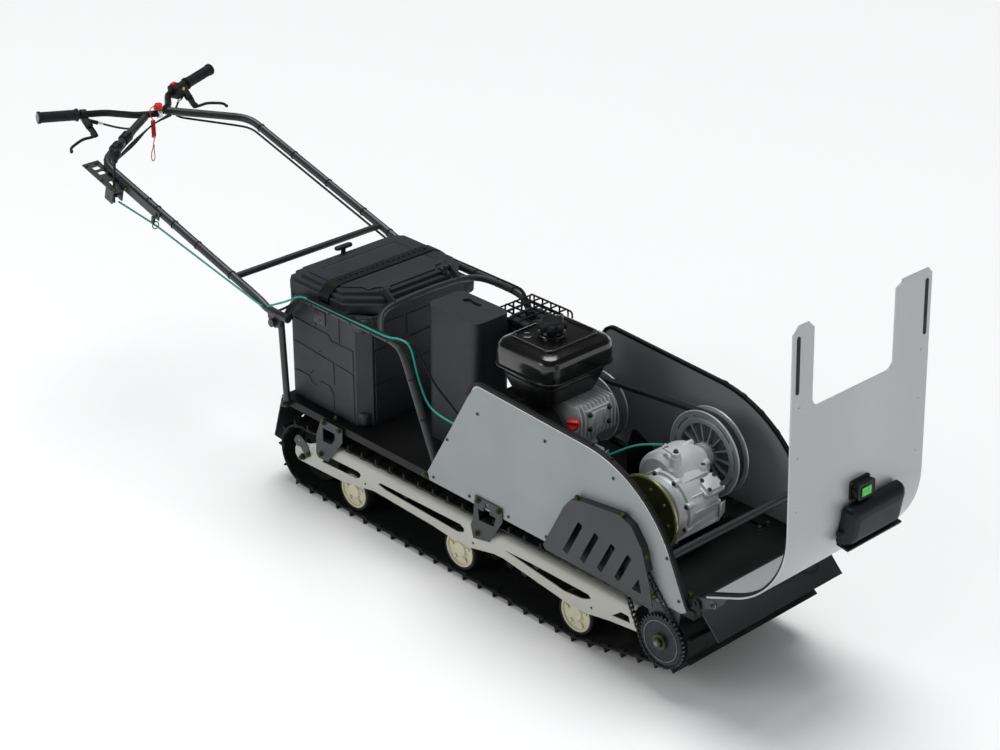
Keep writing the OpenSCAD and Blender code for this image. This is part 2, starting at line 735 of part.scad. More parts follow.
module cargo_box() color(charcoal) place() {
  z = deck_z + seat;
  x1 = box_rear + box_length;
  cut = 34;
  outline = [[box_rear + 14, -box_half], [x1 - cut, -box_half], [x1, -box_half + cut], [x1, box_half - cut],
    [x1 - cut, box_half], [box_rear + 14, box_half], [box_rear, box_half - 14], [box_rear, -box_half + 14]];
  w = box_wall;
  inner = [[box_rear + 14 + w, -box_half + w], [x1 - cut - w / 2, -box_half + w], [x1 - w, -box_half + cut + w / 2],
    [x1 - w, box_half - cut - w / 2], [x1 - cut - w / 2, box_half - w], [box_rear + 14 + w, box_half - w],
    [box_rear + w, box_half - 14 - w], [box_rear + w, -box_half + 14 + w]];
  difference() {
    translate([0, 0, z]) linear_extrude(box_height) polygon(outline);
    translate([0, 0, z + w]) linear_extrude(box_height) polygon(inner);
  }
  both() {
    translate([x1 - 62, box_half - 34, z + box_height - 42]) linear_extrude(42)
      polygon([[0, 8], [34, 8], [58, -14], [58, 8], [46, 34], [12, 34], [0, 26]]);
  }
}

module lid_layer(g, z0, h, front_cut) {
  x0 = box_rear - 6 + g;
  x1 = box_rear + box_length + 4 - g;
  y1 = box_half + 6 - g;
  c = 26;
  f = front_cut;
  translate([0, 0, z0]) linear_extrude(h)
    polygon([[x0 + c, -y1], [x1 - f, -y1], [x1, -y1 + f], [x1, y1 - f], [x1 - f, y1], [x0 + c, y1],
      [x0, y1 - c], [x0, -y1 + c]]);
}

module box_lid() color(charcoal) place() {
  z = lid_low;
  difference() {
    union() {
      lid_layer(0, z, 26, 78);
      lid_layer(10, z + 25, 14, 82);
      lid_layer(24, z + 38, 12, 86);
      lid_layer(40, z + 49, 6, 88);
    }
    lid_layer(10, z - eps, 24 + eps, 80);
    translate([box_rear + 66, -140, z + 52]) cube([92, 280, 6]);
    translate([box_rear + 192, -140, z + 52]) cube([84, 280, 6]);
  }
  translate([box_rear + 26, -24, z + 49]) {
    cylinder(d = 14, h = 22);
    translate([-8, -26, 20]) linear_extrude(9) soft_rect(16, 56, 7.9);
  }
  both() difference() {
    union() {
      across(lid_hinge_x, lid_hinge_z, lid_lug_y - 14, lid_lug_y - 0.4, 14);
      translate([lid_hinge_x - 28, lid_lug_y - 14, z + 40]) cube([26, 13.6, 16]);
    }
    across(lid_hinge_x, lid_hinge_z, lid_lug_y - 16, lid_lug_y + 1, 6.1);
  }
}

module box_strap() color(rubber) place() {
  z = lid_low;
  x = box_rear + 158;
  w = 34;
  top = z + 55 + seat;
  difference() {
    translate([x, -box_half - 9, z + 2]) cube([w, 2 * box_half + 18, top - z + 2]);
    translate([x - eps, -box_half - 6 - seat, z - eps]) cube([w + 2 * eps, 2 * box_half + 12 + 2 * seat, 27 + seat + eps]);
    translate([x - eps, -box_half + 4 - seat, z]) cube([w + 2 * eps, 2 * box_half - 8 + 2 * seat, 39 + seat]);
    translate([x - eps, -box_half + 18 - seat, z]) cube([w + 2 * eps, 2 * box_half - 36 + 2 * seat, 50 + seat]);
    translate([x - eps, -box_half + 34 - seat, z]) cube([w + 2 * eps, 2 * box_half - 68 + 2 * seat, 55 + seat]);
    both() translate([x - eps, box_half + 1, z + 42]) cube([w + 2 * eps, 30, 40]);
    both() translate([x - eps, box_half - 14, z + 54]) cube([w + 2 * eps, 60, 40]);
  }
}

module air_box() color(charcoal) place() {
  length = 204;
  width = 132;
  top = 700;
  difference() {
    translate([-358, -104, deck_z + seat]) linear_extrude(top - deck_z - seat) soft_rect(length, width, 26);
    translate([-359, -120, deck_z - eps]) rotate([0, -36, 0]) translate([-200, 0, -200]) cube([200, 170, 420]);
    translate([-292, -8, top - 8]) cylinder(d = 26, h = 9);
    translate([-292, -16, top - 8]) cube([44, 16, 9]);
    translate([-248, -8, top - 8]) cylinder(d = 20, h = 9);
  }
}

module engine_block() color(cast) place() {
  base = deck_z + 36 + seat;
  difference() {
    union() {
      across(crank_x, crank_z, -78, 84, 190);
      across(crank_x, crank_z, 80, v_plane - 28.4, 62);
    }
    across(crank_x, crank_z, 82.5, v_plane, crank_d + 0.2);
  }
  translate([crank_x - 100, -74, base]) cube([205, 150, 60]);
  for (k = [0 : 7])
    translate([crank_x + 6, -66 + k * 18, 470]) cube([140, 9, 96]);
  translate([crank_x + 10, -60, 474]) cube([100, 124, 88]);
  for (y = [-84, 64])
    translate([crank_x - 118, y, base]) cube([240, 30, 14]);
  bar(neck_low, neck_top, 24);
}

module engine_shroud() color(black) place() {
  translate([crank_x - 96, -150, 566]) linear_extrude(62) soft_rect(196, 224, 30);
  difference() {
    across(crank_x, crank_z, -162, -86, 232);
    across(crank_x, crank_z, -163, -154, 150);
    for (k = [0 : 11]) {
      a = 30 * k;
      across(crank_x + 88 * cos(a), crank_z + 88 * sin(a), -163, -150, 14);
    }
  }
  across(crank_x, crank_z, -172, -150, 128);
  difference() {
    translate([crank_x - 90, -150, 470]) cube([60, 210, 97]);
    across(crank_x, crank_z, -86, 90, 190.6);
  }
}

module fuel_tank() color(black) place() {
  low = 628.3;
  r = 42;
  translate([tank_x + 10, tank_y + 10, low]) linear_extrude(seam_z - low) soft_rect(tank_length - 20, tank_width - 20, r);
  translate([tank_x - 4, tank_y - 4, seam_z - 2]) linear_extrude(5) soft_rect(tank_length + 8, tank_width + 8, r + 4);
  difference() {
    union() {
      translate([tank_x, tank_y, seam_z + 2]) linear_extrude(62) soft_rect(tank_length, tank_width, r);
      translate([tank_x + 8, tank_y + 8, seam_z + 63]) linear_extrude(12) soft_rect(tank_length - 16, tank_width - 16, r - 8);
      translate([tank_x + 20, tank_y + 20, seam_z + 74]) linear_extrude(10) soft_rect(tank_length - 40, tank_width - 40, r - 20);
    }
    difference() {
      translate([tank_x + 36, tank_y + 36, seam_z + 79]) linear_extrude(8) soft_rect(tank_length - 72, tank_width - 72, 14);
      translate([tank_x + 44, tank_y + 44, seam_z + 78]) linear_extrude(10) soft_rect(tank_length - 88, tank_width - 88, 10);
    }
  }
  translate([cap_x, cap_y, seam_z + 78]) cylinder(d = 66, h = 14);
}

module fuel_cap() color(black) place() {
  z = seam_z + 92 + run_gap;
  translate([cap_x, cap_y, z]) {
    cylinder(d = 70, h = 22);
    for (k = [0 : 7]) rotate(45 * k) translate([33, 0, 2]) cylinder(d = 20, h = 18, $fn = 32);
    translate([0, 0, 21]) difference() {
      cylinder(d = 60, h = 5);
      translate([0, 0, 2]) cylinder(d = 48, h = 4);
    }
  }
}

module dipstick() color(red) place() {
  v = unit(neck_top - neck_low);
  translate(neck_top + 0.3 * v) rotate([0, acos(v[2]), atan2(v[1], v[0])]) {
    cylinder(d = 20, h = 11);
    translate([0, 0, 10]) cylinder(d = 34, h = 12, $fn = 24);
    translate([-4, -16, 21]) cube([8, 32, 12]);
  }
}

module muffler() color([0.1, 0.11, 0.15]) place() {
  translate([-232, 70, 560]) linear_extrude(88) soft_rect(118, 120, 34);
  for (k = [0 : 5]) translate([-226 + 18 * k, 66, 566]) cube([8, 128, 78]);
  translate([-120, 96, 562]) cube([96, 44, 40]);
  translate([-170, 120, 640]) cylinder(d = 30, h = 20);
  translate([-214, 90, deck_z + seat]) cube([12, 80, 560 - deck_z]);
}

module muffler_guard() color(charcoal) place() {
  x0 = -262;
  x1 = -92;
  y0 = 44;
  y1 = 204;
  step = 34;
  rise = 54;
  for (k = [0 : 5]) {
    y = y0 + k * (y1 - y0) / 5;
    bar([x0 - 1, y, guard_low], [x1 + 1, y, guard_low], 6);
    for (x = [x0, x1]) bar([x, y, guard_low - rise], [x, y, guard_low + 1], 5);
  }
  for (k = [0 : 4]) {
    x = x0 + step / 2 + k * step;
    bar([x, y0 - 1, guard_low + 5], [x, y1 + 1, guard_low + 5], 5.6);
    for (y = [y0, y1]) bar([x, y, guard_low - rise], [x, y, guard_low + 6], 5);
  }
  for (y = [y0, y1]) bar([x0 - 2, y, guard_low - rise + 2], [x1 + 2, y, guard_low - rise + 2], 6.6);
  for (x = [x0, x1]) bar([x, y0 - 2, guard_low - rise + 3], [x, y1 + 2, guard_low - rise + 3], 7);
  for (x = [x0, x1])
    for (y = [y0, y1]) translate([x, y, deck_z + seat]) cylinder(d = 8, h = guard_low - rise - deck_z);
}

module gearbox() color(cast) place() {
  y0 = -132;
  y1 = 104;
  difference() {
    union() {
      across(out_x, out_z, -118, 60, 172);
      across(driven_x + 6, driven_z - 6, -60, 74, 150);
      across(driven_x, driven_z, 70, 92, 96);
      across(out_x, out_z, -132, -116, 96);
      translate([452, -104, deck_z + 37 + seat]) cube([128, 200, 60]);
      translate([sel_x, sel_y, 496]) cylinder(d = 44, h = 26);
      translate([sel_x, sel_y, 520]) cylinder(d = 30, h = sel_z - 520);
      translate([570, -20, 470]) rotate([0, 30, 0]) cube([56, 74, 26]);
      across(out_x, out_z, -84, -74, 188);
    }
    across(out_x, out_z, -134, -110, 25.1);
    across(driven_x, driven_z, 60, 94, 30.2);
    translate([sel_x, sel_y, sel_z - 24]) cylinder(d = 14.2, h = 26);
  }
}

module selector_arm() color(cast) place() {
  reach = 46;
  translate([sel_x, sel_y, sel_z]) {
    translate([0, 0, -23]) cylinder(d = 14, h = 25);
    translate([0, 0, 0.6]) {
      cylinder(d = 26, h = 11);
      rotate([0, 0, 168]) {
        translate([0, -8, 2]) cube([reach, 16, 6]);
        translate([reach, 0, 2]) cylinder(d = 18, h = 6);
        translate([reach, 0, 2]) cylinder(d = 7, h = 13);
      }
    }
  }
}

module v_groove(r, half) {
  polygon([[0, -half], [r, -half], [r, -half + 4], [r - 26, -7], [r - 26, 7], [r, half - 4], [r, half], [0, half]]);
}

module driven_pulley() color(charcoal) place() {
  half = 19;
  translate([driven_x, v_plane, driven_z]) rotate([90, 0, 0]) {
    difference() {
      rotate_extrude($fn = 120) v_groove(driven_pulley_r, half);
      translate([0, 0, 7]) difference() {
        cylinder(r = 84, h = 40);
        translate([0, 0, -eps]) cylinder(r = 34, h = 42);
      }
      for (k = [0 : 7]) rotate(45 * k + 8) translate([0, 0, 14]) rotate_extrude(angle = 34, $fn = 96)
        translate([101, 0]) square([5, 8]);
    }
    for (k = [0 : 13]) rotate(360 / 14 * k) translate([32, -2, 5]) cube([54, 4, 11]);
    translate([0, 0, 15]) cylinder(d = 66, h = 18);
    translate([0, 0, 30]) cylinder(d = 54, h = 11);
    cylinder(d = 30, h = 62);
  }
}

module drive_pulley() color(charcoal) place() {
  half = 19;
  translate([crank_x, v_plane, crank_z]) rotate([90, 0, 0]) {
    difference() {
      rotate_extrude($fn = 120) v_groove(drive_pulley_r, half);
      translate([0, 0, -24]) cylinder(r = 60, h = 14);
      translate([0, 0, 12]) cylinder(r = 60, h = 14);
    }
    translate([0, 0, -26]) cylinder(d = 64, h = 52);
    cylinder(d = crank_d, h = 62);
  }
}

belt_r1 = drive_pulley_r - 14;
belt_r2 = driven_pulley_r - 14;

module v_belt() color(rubber) place() {
  v = [driven_x - crank_x, driven_z - crank_z];
  a0 = atan2(v[1], v[0]);
  b = asin((belt_r2 - belt_r1) / norm(v));
  w = 8.7;
  upright(v_plane - w, 2 * w) difference() {
    for_belt(a0, b, 6);
    for_belt(a0, b, -5);
  }
}

module for_belt(a0, b, g) {
  c1 = [crank_x, crank_z];
  c2 = [driven_x, driven_z];
  r1 = belt_r1 + g;
  r2 = belt_r2 + g;
  a1 = a0 + 90 + b;
  a2 = a0 - 90 - b;
  translate(c1) circle(r1, $fn = 96);
  translate(c2) circle(r2, $fn = 96);
  polygon([c1 + r1 * [cos(a1), sin(a1)], c2 + r2 * [cos(a1), sin(a1)], c2,
    c2 + r2 * [cos(a2), sin(a2)], c1 + r1 * [cos(a2), sin(a2)], c1]);
}

module bolts() color(zinc) place() {
  near = -deck_half - seat - sheet - seat;
  for (p = panel_screw_points) {
    side_bolt(p[0], near, p[1], 5);
    mirror([0, 1, 0]) side_bolt(p[0], near, p[1], 5);
  }
  both() {
    mirror([0, 1, 0]) {
      for (x = [-636, -568]) side_bolt(x, -deck_half - 7.8, 275, 8);
      side_bolt(-656, -deck_half - 7.8, 165, 8);
      for (x = [18, 100]) side_bolt(x, -deck_half - 7.8, 288, 7);
      side_bolt(14, -deck_half - 7.8, 184, 8);
      side_bolt(idler_x, -track_width / 2 - 3.2, idler_z, 9);
      side_bolt(-724, -track_width / 2 - 0.8, 134, 7);
      side_bolt(-800, -post_y - 10.2, deck_z - 8, 8);
      side_bolt(-204, -deck_half - seat, 277, 8);
    }
  }
  for (p = [[-612, -232], [513, 140], [540, 146], [505, 236], [770 - 30, 200], [740, -200]])
    translate([p[0], p[1], deck_z + seat]) cylinder(d = 12, h = 5, $fn = 6);
}

module tow_hitch() color(charcoal) place() {
  z = 196;
  x = -922;
  difference() {
    union() {
      translate([x - 24, -32, z]) cube([77.5, 64, 8]);
      translate([x - 24, -32, z + 34]) cube([87.8, 64, 8]);
      translate([apron_x, 0, deck_z - 4]) rotate([0, apron_lean, 0])
        translate([-8.2, -40, -112]) cube([8, 80, 92]);
    }
    translate([x, 0, z - eps]) cylinder(d = 20.2, h = 50);
  }
}

// the hood is drawn open and turned back by what is left of its travel
open_turn = 85;
hood_flat = 540;

module hood_at() {
  translate([hood_hinge_x, 0, hood_hinge_z]) rotate([0, hood_open - open_turn, 0])
    translate([-hood_hinge_x, 0, -hood_hinge_z]) children();
}

// start of the lip in the open place and the angle of the lip
lip_at = [841, 352];
lip_angle = 22.7;
bend_turn = 69.5;

module hood_frame() {
  translate([lip_at[0], 0, lip_at[1]]) rotate([0, -lip_angle, 0]) children();
}

module up_path(steps, w, t) {
  mirror([0, 0, 1]) sheet_path(steps, w, t);
}

module hood_panel() color(silver) place() hood_at() {
  difference() {
    hood_frame()
      up_path([["run", lip_length], ["bend", hood_bend, bend_turn], ["run", hood_flat]], 2 * hood_half, hood_sheet);
    hood_cut() {
      translate([hood_flat - notch_depth, notch_right]) soft_rect(notch_depth + 90, notch_left - notch_right, 26);
      translate([hood_flat, notch_right]) polygon([[-18, 1], [-14, -5], [-5, -14], [1, -18], [20, -18], [20, 1]]);
      translate([hood_flat, -hood_half]) polygon([[-20, -1], [-15, 6], [-6, 15], [1, 20], [20, 20], [20, -1]]);
      translate([hood_flat, hood_half]) polygon([[-14, 1], [-11, -4], [-4, -11], [1, -14], [20, -14], [20, 1]]);
      translate([hood_flat - 6, -hood_half + 60]) rotate(-30) square([60, 60]);
      for (y = [-235, 235]) translate([hood_flat - 172, y - 6]) soft_rect(146, 12, 5.9);
      translate([hood_flat - 30, notch_left - 30]) rotate(-24) square([60, 60]);
    }
  }
}

// cutter that lies in the flat of the hood: first axis along the flat, second across
module hood_cut() {
  hood_frame() mirror([0, 0, 1]) translate([lip_length, 0, 0])
    translate([hood_bend * sin(bend_turn), 0, -hood_bend * (1 - cos(bend_turn))]) rotate([0, bend_turn, 0])
      translate([0, 0, -20]) linear_extrude(40) children();
}

// places a piece on the flat: x along the flat, y across, z outwards
module on_flat() {
  hood_frame() mirror([0, 0, 1]) translate([lip_length, 0, 0])
    translate([hood_bend * sin(bend_turn), 0, -hood_bend * (1 - cos(bend_turn))]) rotate([0, bend_turn, 0])
      translate([0, 0, hood_sheet / 2]) children();
}

module hood_seal() color(rubber) place() hood_at() {
  both() hood_frame() translate([0, 243, 0]) mirror([0, 0, 1]) translate([0, 0, -5.2])
    sheet_path([["run", lip_length], ["bend", hood_bend - 5.2, bend_turn]], 14, 6);
  for (y = [-235, 235])
    on_flat() translate([hood_flat - 171.8, y - 5.8, -hood_sheet - 1])
      linear_extrude(hood_sheet + 2) soft_rect(145.6, 11.6, 5.7);
}

module hood_hinges() color(charcoal) place() hood_at() {
  both() {
    upright(236, 4) difference() {
      union() {
        translate([hood_hinge_x, hood_hinge_z]) circle(16);
        translate([853, 330]) circle(13);
        polygon([[hood_hinge_x - 4, hood_hinge_z + 15], [853, 343], [860, 320], [hood_hinge_x + 4, hood_hinge_z - 15]]);
        polygon([[838, 348.4], [900, 374], [884, 344], [856, 320]]);
      }
      translate([hood_hinge_x, hood_hinge_z]) circle(6.1);
    }
  }
}

module hinge_posts() {
  both() {
    upright(242, 5) difference() {
      polygon([[780, deck_z - 4], [816, deck_z - 4], [812, 318], [797, 326], [784, 318]]);
      translate([hood_hinge_x, hood_hinge_z]) circle(5.9);
    }
    across(hood_hinge_x, hood_hinge_z, 233, 250, 11.8);
  }
}

// frame of the lamp: it lies on the bend of the hood, first axis away from the lens
lamp_length = 112;
module lamp_frame() {
  on_flat() translate([14, 0, 7.9]) rotate([0, -11.2, 0]) translate([-lamp_length, 0, 0]) children();
}

module lamp_housing() color(charcoal) place() hood_at() lamp_frame() {
  low_y = -62;
  width = 212;
  difference() {
    translate([0, low_y, 0]) linear_extrude(44) soft_rect(lamp_length, width, 14);
    translate([34, low_y - eps, 44]) rotate([0, 22, 0]) cube([140, width + 2 * eps, 60]);
    translate([-eps, low_y + 12, 7]) cube([6, width - 24, 30]);
  }
  translate([40, low_y - 10, 12]) rotate([-90, 0, 0]) cylinder(d = 18, h = width + 20);
}

module lamp_lens() color([0.85, 0.88, 0.9]) place() hood_at() lamp_frame() {
  translate([1.2, -49.6, 7.4]) cube([3.4, 187.2, 29.2]);
}

module pod() color(black) place() hood_at() on_flat() {
  translate([17, -32, 0.3]) linear_extrude(4) soft_rect(52, 74, 8);
  translate([22, -27, 4]) linear_extrude(22) soft_rect(42, 64, 6);
  for (y = [-32, 37]) translate([44, y, 14]) rotate([-90, 0, 0]) cylinder(d = 14, h = 6);
}

module pod_face() color([0.2, 0.8, 0.25]) place() hood_at() on_flat() {
  translate([30, -14, 26.3]) cube([22, 34, 1.4]);
}

// handle: points of one leg, mirrored for the other
leg_low = [-752, hy, 572];
leg_bend = [-842, hy, 572];
leg_rise = [-884, hy, 591];
leg_top = [-1640, hy, 800];
leg_end = [-1754, 38, 856];
crossbar_x = -1000;
crossbar_z = 624;
leg_slope = atan2(leg_top[2] - leg_rise[2], leg_rise[0] - leg_top[0]);

// handlebar: points of one half
bar_mid = [-1735, 0, 861];
bar_knee = [-1770, 62, 861];
bar_bend = [-1853, 120, 862];
grip_dir = unit([-49, 183, 19]);
bar_end = [-1909, 330, 883.7];

module bar_bores() {
  g = bar_d + 0.4;
  both() bar(bar_end - 200 * grip_dir, bar_end + 4 * grip_dir, g);
}

module handle_frame() color(charcoal) place() {
  knee = bar_knee - bar_mid;
  difference() {
    both() tube(route([leg_low, leg_bend, leg_rise, leg_top, leg_end], 46), handle_d, 12);
    both() bar(bar_mid, bar_mid + 1.5 * knee, bar_d + 0.4);
    both() bar(bar_knee - 0.2 * knee, bar_bend, bar_d + 5);
  }
  across(crossbar_x, crossbar_z, -hy, hy, 20);
  both() {
    upright(hy - 5, 4) difference() {
      polygon([[-842, 552], [-832, 533], [-812, 526], [-792, 533], [-782, 552], [-782, 572], [-842, 572]]);
      translate([tilt_x, tilt_z]) circle(12.2);
    }
    upright(hy + 1, 4) difference() {
      polygon([[-842, 552], [-832, 533], [-812, 526], [-792, 533], [-782, 552], [-782, 572], [-842, 572]]);
      translate([tilt_x, tilt_z]) circle(12.2);
    }
  }
}

module handlebar() color(black) place() {
  tube(route([bar_end * 1, [bar_bend[0], bar_bend[1], bar_bend[2]], bar_knee, bar_mid,
    [bar_knee[0], -bar_knee[1], bar_knee[2]], [bar_bend[0], -bar_bend[1], bar_bend[2]],
    [bar_end[0], -bar_end[1], bar_end[2]]], 20, 4), bar_d, 12);
}

module grips() color(rubber) place() {
  both() difference() {
    union() {
      bar(bar_end + 3 * grip_dir, bar_end - (grip_length - 3) * grip_dir, grip_d);
      bar(bar_end + 4 * grip_dir, bar_end - 4 * grip_dir, grip_d + 4);
      bar(bar_end - (grip_length - 9) * grip_dir, bar_end - (grip_length - 3) * grip_dir, grip_d + 6);
    }
    bar(bar_end - 190 * grip_dir, bar_end + 0.3 * grip_dir, bar_d + 0.4);
  }
}

// frame of a control lever at its pivot: first axis forward, second outwards, third along the pin
lever_at = [-1840, 195, 840];
lever_lean = 36.87;
module lever_frame() {
  translate(lever_at) rotate([0, lever_lean, 0]) children();
}

// frame on the left half of the handlebar: first axis down, second to the rear, third outwards
switch_at = bar_end - 196 * grip_dir;
module switch_frame() {
  translate(switch_at) rotate([0, acos(grip_dir[2]), atan2(grip_dir[1], grip_dir[0])]) children();
}
rocker_at = [-18.2, 7, 19];
button_at = [-6, -24, 28];

module bar_controls() color(black) place() {
  difference() {
    both() {
      bar(bar_end - 154 * grip_dir, bar_end - 134 * grip_dir, 33);
      lever_frame() difference() {
        union() {
          translate([-36, -14, -9]) cube([46, 23, 18]);
          bar([-20, -12, 0], [2, -44, 0], 9);
        }
        translate([-13, -20, -2.9]) cube([40, 40, 5.8]);
      }
    }
    bar_bores();
  }
  both() lever_frame() translate([0, 0, -8]) cylinder(d = 6, h = 16);
  difference() {
    switch_frame() difference() {
      translate([-20, -24, 0]) cube([43, 44, 38]);
      translate([rocker_at[0], rocker_at[1], 10.6]) cylinder(r = 8.3, h = 16.8);
      translate([button_at[0], button_at[1] - eps, button_at[2]]) rotate([-90, 0, 0]) cylinder(d = 10.4, h = 9);
    }
    bar_bores();
  }
  translate([bar_mid[0], 0, bar_mid[2] + 12]) cylinder(d = 15.6, h = 14);
  translate([bar_mid[0] - 14, -12, bar_mid[2] + bar_d / 2 + seat]) cube([28, 24, 3]);
}

module kill_rocker() color(red) place() switch_frame() {
  translate([rocker_at[0], rocker_at[1], 11]) difference() {
    cylinder(r = 8, h = 16);
    translate([-14, -4, -eps]) rotate([0, 0, 10]) cube([8, 8, 18]);
  }
}

module start_button() color(yellow) place() switch_frame() {
  translate([button_at[0], button_at[1] - 3.5, button_at[2]]) rotate([-90, 0, 0]) cylinder(d = 10, h = 8.5);
}

module lever_blade() {
  difference() {
    union() {
      translate([0, 0, -2.5]) linear_extrude(5)
        polygon([[-9, 5], [-9, -5], [-4, -9], [5, -9], [12, 4], [28, 26], [36, 52], [62, 100], [76, 118], [70, 128],
          [54, 120], [28, 72], [18, 50], [-2, 18]]);
    }
    translate([0, 0, -4]) cylinder(d = 6.2, h = 8);
  }
  translate([72, 122, -2.5]) cylinder(d = 14, h = 5);
}

module throttle_lever() color(black) place() mirror([0, 1, 0]) lever_frame() lever_blade();
module brake_lever() color(black) place() lever_frame() lever_blade();

// frame that follows the right leg: first axis down the leg, third away from it
module gate_frame() {
  translate([-1671, 0, leg_top[2] + tan(leg_slope) * 31]) rotate([0, leg_slope, 0]) children();
}
shift_at = [-1553, 724];
shift_top = [-1530, 864];
shift_y = -hy - 29;

module shift_gate() color(charcoal) place() {
  difference() {
    gate_frame() {
      difference() {
        translate([0, -hy - 55, -17]) cube([168, 58, 4]);
        translate([108, shift_y - 6, -18]) cube([40, 12, 6]);
        for (u = [24, 52]) translate([u, shift_y - 8, -18]) soft_rect_block(18, 24, 6);
      }
      for (y = [shift_y - 20, shift_y + 16]) translate([118, y, -64]) cube([38, 4, 48]);
      translate([140, -hy - 17, -17]) cube([206, 3, 26]);
      translate([140, -hy - 17, -17]) cube([26, 12, 4]);
      translate([318, -hy - 23, -34]) cube([10, 8, 20]);
    }
  }
  across(shift_at[0], shift_at[1], shift_y - 21, shift_y + 21, 6);
}

module soft_rect_block(w, h, t) {
  linear_extrude(t) soft_rect(w, h, 4);
}

module shift_lever() color(black) place() {
  difference() {
    union() {
      across(shift_at[0], shift_at[1], shift_y - 8, shift_y + 8, 16);
      bar([shift_at[0], shift_y, shift_at[1]], [shift_top[0], shift_y, shift_top[1]], 8);
      bar([shift_at[0], shift_y, shift_at[1]], [shift_at[0] - 3, shift_y, shift_at[1] - 20], 7);
    }
    across(shift_at[0], shift_at[1], shift_y - 12, shift_y + 12, 6.1);
  }
  translate([shift_top[0], shift_y, shift_top[1]]) sphere(r = 19, $fn = 32);
}

// tether: one tube from the clip over an arc into a curl, then a straight length and a loop
tether_x = -1722;
tether_d = 3;
curl_r = 6;
curl_pitch = 3.7;
curl_turns = 15;
curl_y = -33;
curl_top = 850;
curl_low = curl_top - curl_pitch * curl_turns;
tether_points = concat(
  route([[tether_x - 6.6, -11.1, 884], [tether_x, -24, 897], [tether_x, -44, 888], [tether_x, -40, 862],
    [tether_x + curl_r, curl_y, curl_top]], 12, 4),
  [for (i = [1 : curl_turns * 8 - 1])
    let (a = 360 * i / 8)
    [tether_x + curl_r * cos(a), curl_y + curl_r * sin(a), curl_top - curl_pitch * i / 8]],
  route([[tether_x + curl_r, curl_y, curl_low], [tether_x + 2, curl_y - 3, curl_low - 10], [tether_x, -38, 764],
    [tether_x, -47, 744], [tether_x, -48, 722], [tether_x, -42, 715], [tether_x, -35, 722], [tether_x, -35.5, 744],
    [tether_x + 3.6, -38.5, 768]], 8, 3));
tether_length = [for (i = 1, l = norm(tether_points[1] - tether_points[0]); i < len(tether_points);
  i = i + 1, l = l + (i < len(tether_points) ? norm(tether_points[i] - tether_points[i - 1]) : 0)) l];
echo(tether_length = tether_length[len(tether_length) - 1]);
function route_run(i, j) = tether_length[min(j, len(tether_length)) - 1] - (i == 0 ? 0 : tether_length[i - 1]);
// smallest distance between points of the route that are a turn or more apart
curl_gap = min([for (i = [0 : len(tether_points) - 1]) for (j = [i + 7 : 1 : len(tether_points) - 1])
  if (route_run(i, j) > 5 * tether_d) norm(tether_points[i] - tether_points[j])]) - tether_d;
echo(curl_gap = curl_gap);

module tether_cord() color(red) place() tube(tether_points, tether_d, 6);

module tether_clip() color(red) place() {
  z = bar_mid[2] + bar_d / 2 + seat + 3.3;
  difference() {
    translate([bar_mid[0], 0, z]) cylinder(d = 25, h = 18);
    translate([bar_mid[0], 0, z - eps]) cylinder(d = 16, h = 13);
  }
}

cable_d = 7;
shift_cable_d = 6;

module handle_cables() color(black) place() {
  rub = 15;
  drop = 14;
  for (s = [-1, 1])
    tube(route([[-1838, s * 150.3, 838.5], [-1800, s * 104, 820], [-1742, s * 78, 827], [-1664, s * 232, 783],
      [-1612, s * (hy - rub), 792 - drop], [-884, s * (hy - rub), 591 - drop], [-862, s * (hy - rub), 567]], 30, 4),
      cable_d, 8);
}

module handle_shift_cable() color(teal) place() {
  y = -hy - 17;
  tube(route([[-1534, shift_y + 3, 708], [-1359, y, 682], [-1260, y, 663], [-861, y, 587], [-848, y, 588]],
    40, 4), shift_cable_d, 8);
}

module shift_cable() color(teal) place() {
  z = frame_top + 11.8;
  y = -deck_half + 1;
  tube(route([[-826, -hy - 17, 594], [-800, -hy - 9, 606], [-768, -hy + 13, z - 23.8], [-735, y, z], [-352, y, z],
    [-318, -236, z + 4.2], [-284, -226, z - 8], [-262, -221, 540], [-226, -217, 466], [-170, -210, 448],
    [260, -200, 440],
    [330, -130, 486], [420, -72, 548], [481, -37, 559]], 36, 4), shift_cable_d, 8);
}

module body_cables() color(black) place() {
  z = frame_top + 5;
  y = deck_half - 1;
  tube(route([[-828, -post_y, 567], [-790, -post_y, 588], [-740, -y - 4, z - 9], [-722, -y, z], [-352, -y, z],
    [-318, -234, z + 4], [-285, -214, z - 3], [-215, -200, 530], [-120, -184, 452], [-52, -178, 440]], 30, 4), cable_d, 8);
  tube(route([[-828, post_y, 567], [-790, post_y, 588], [-740, y + 4, z - 9], [-722, y, z], [-352, y, z],
    [-318, 234, z + 4], [-285, 214, z - 3], [-215, 214.5, 530], [-120, 214.5, 330], [-60, 214.5, 296]], 30, 4), cable_d, 8);
}

deck();
rear_apron();
nose_plate();
side_panels();
edge_trims();
slide_rails();
hangers();
wheel_axles();
track();
tube_frame();
cargo_box();
box_strap();
air_box();
engine_block();
engine_shroud();
fuel_tank();
dipstick();
muffler();
muffler_guard();
gearbox();
drive_chain();
v_belt();
chain_guard();
bolts();
shift_cable();
body_cables();
tow_hitch();
hood_panel();
hood_seal();
hood_hinges();
lamp_housing();
lamp_lens();
pod();
pod_face();
handle_frame();
handlebar();
grips();
bar_controls();
shift_gate();
tether_cord();
tether_clip();
throttle_lever();
brake_lever();
kill_rocker();
start_button();
shift_lever();
selector_arm();
fuel_cap();
box_lid();
idler_wheels();
bogie_rear();
bogie_mid();
bogie_front();
drive_shaft();
output_shaft();
brake_disc();
driven_pulley();
drive_pulley();
handle_shift_cable();
handle_cables();
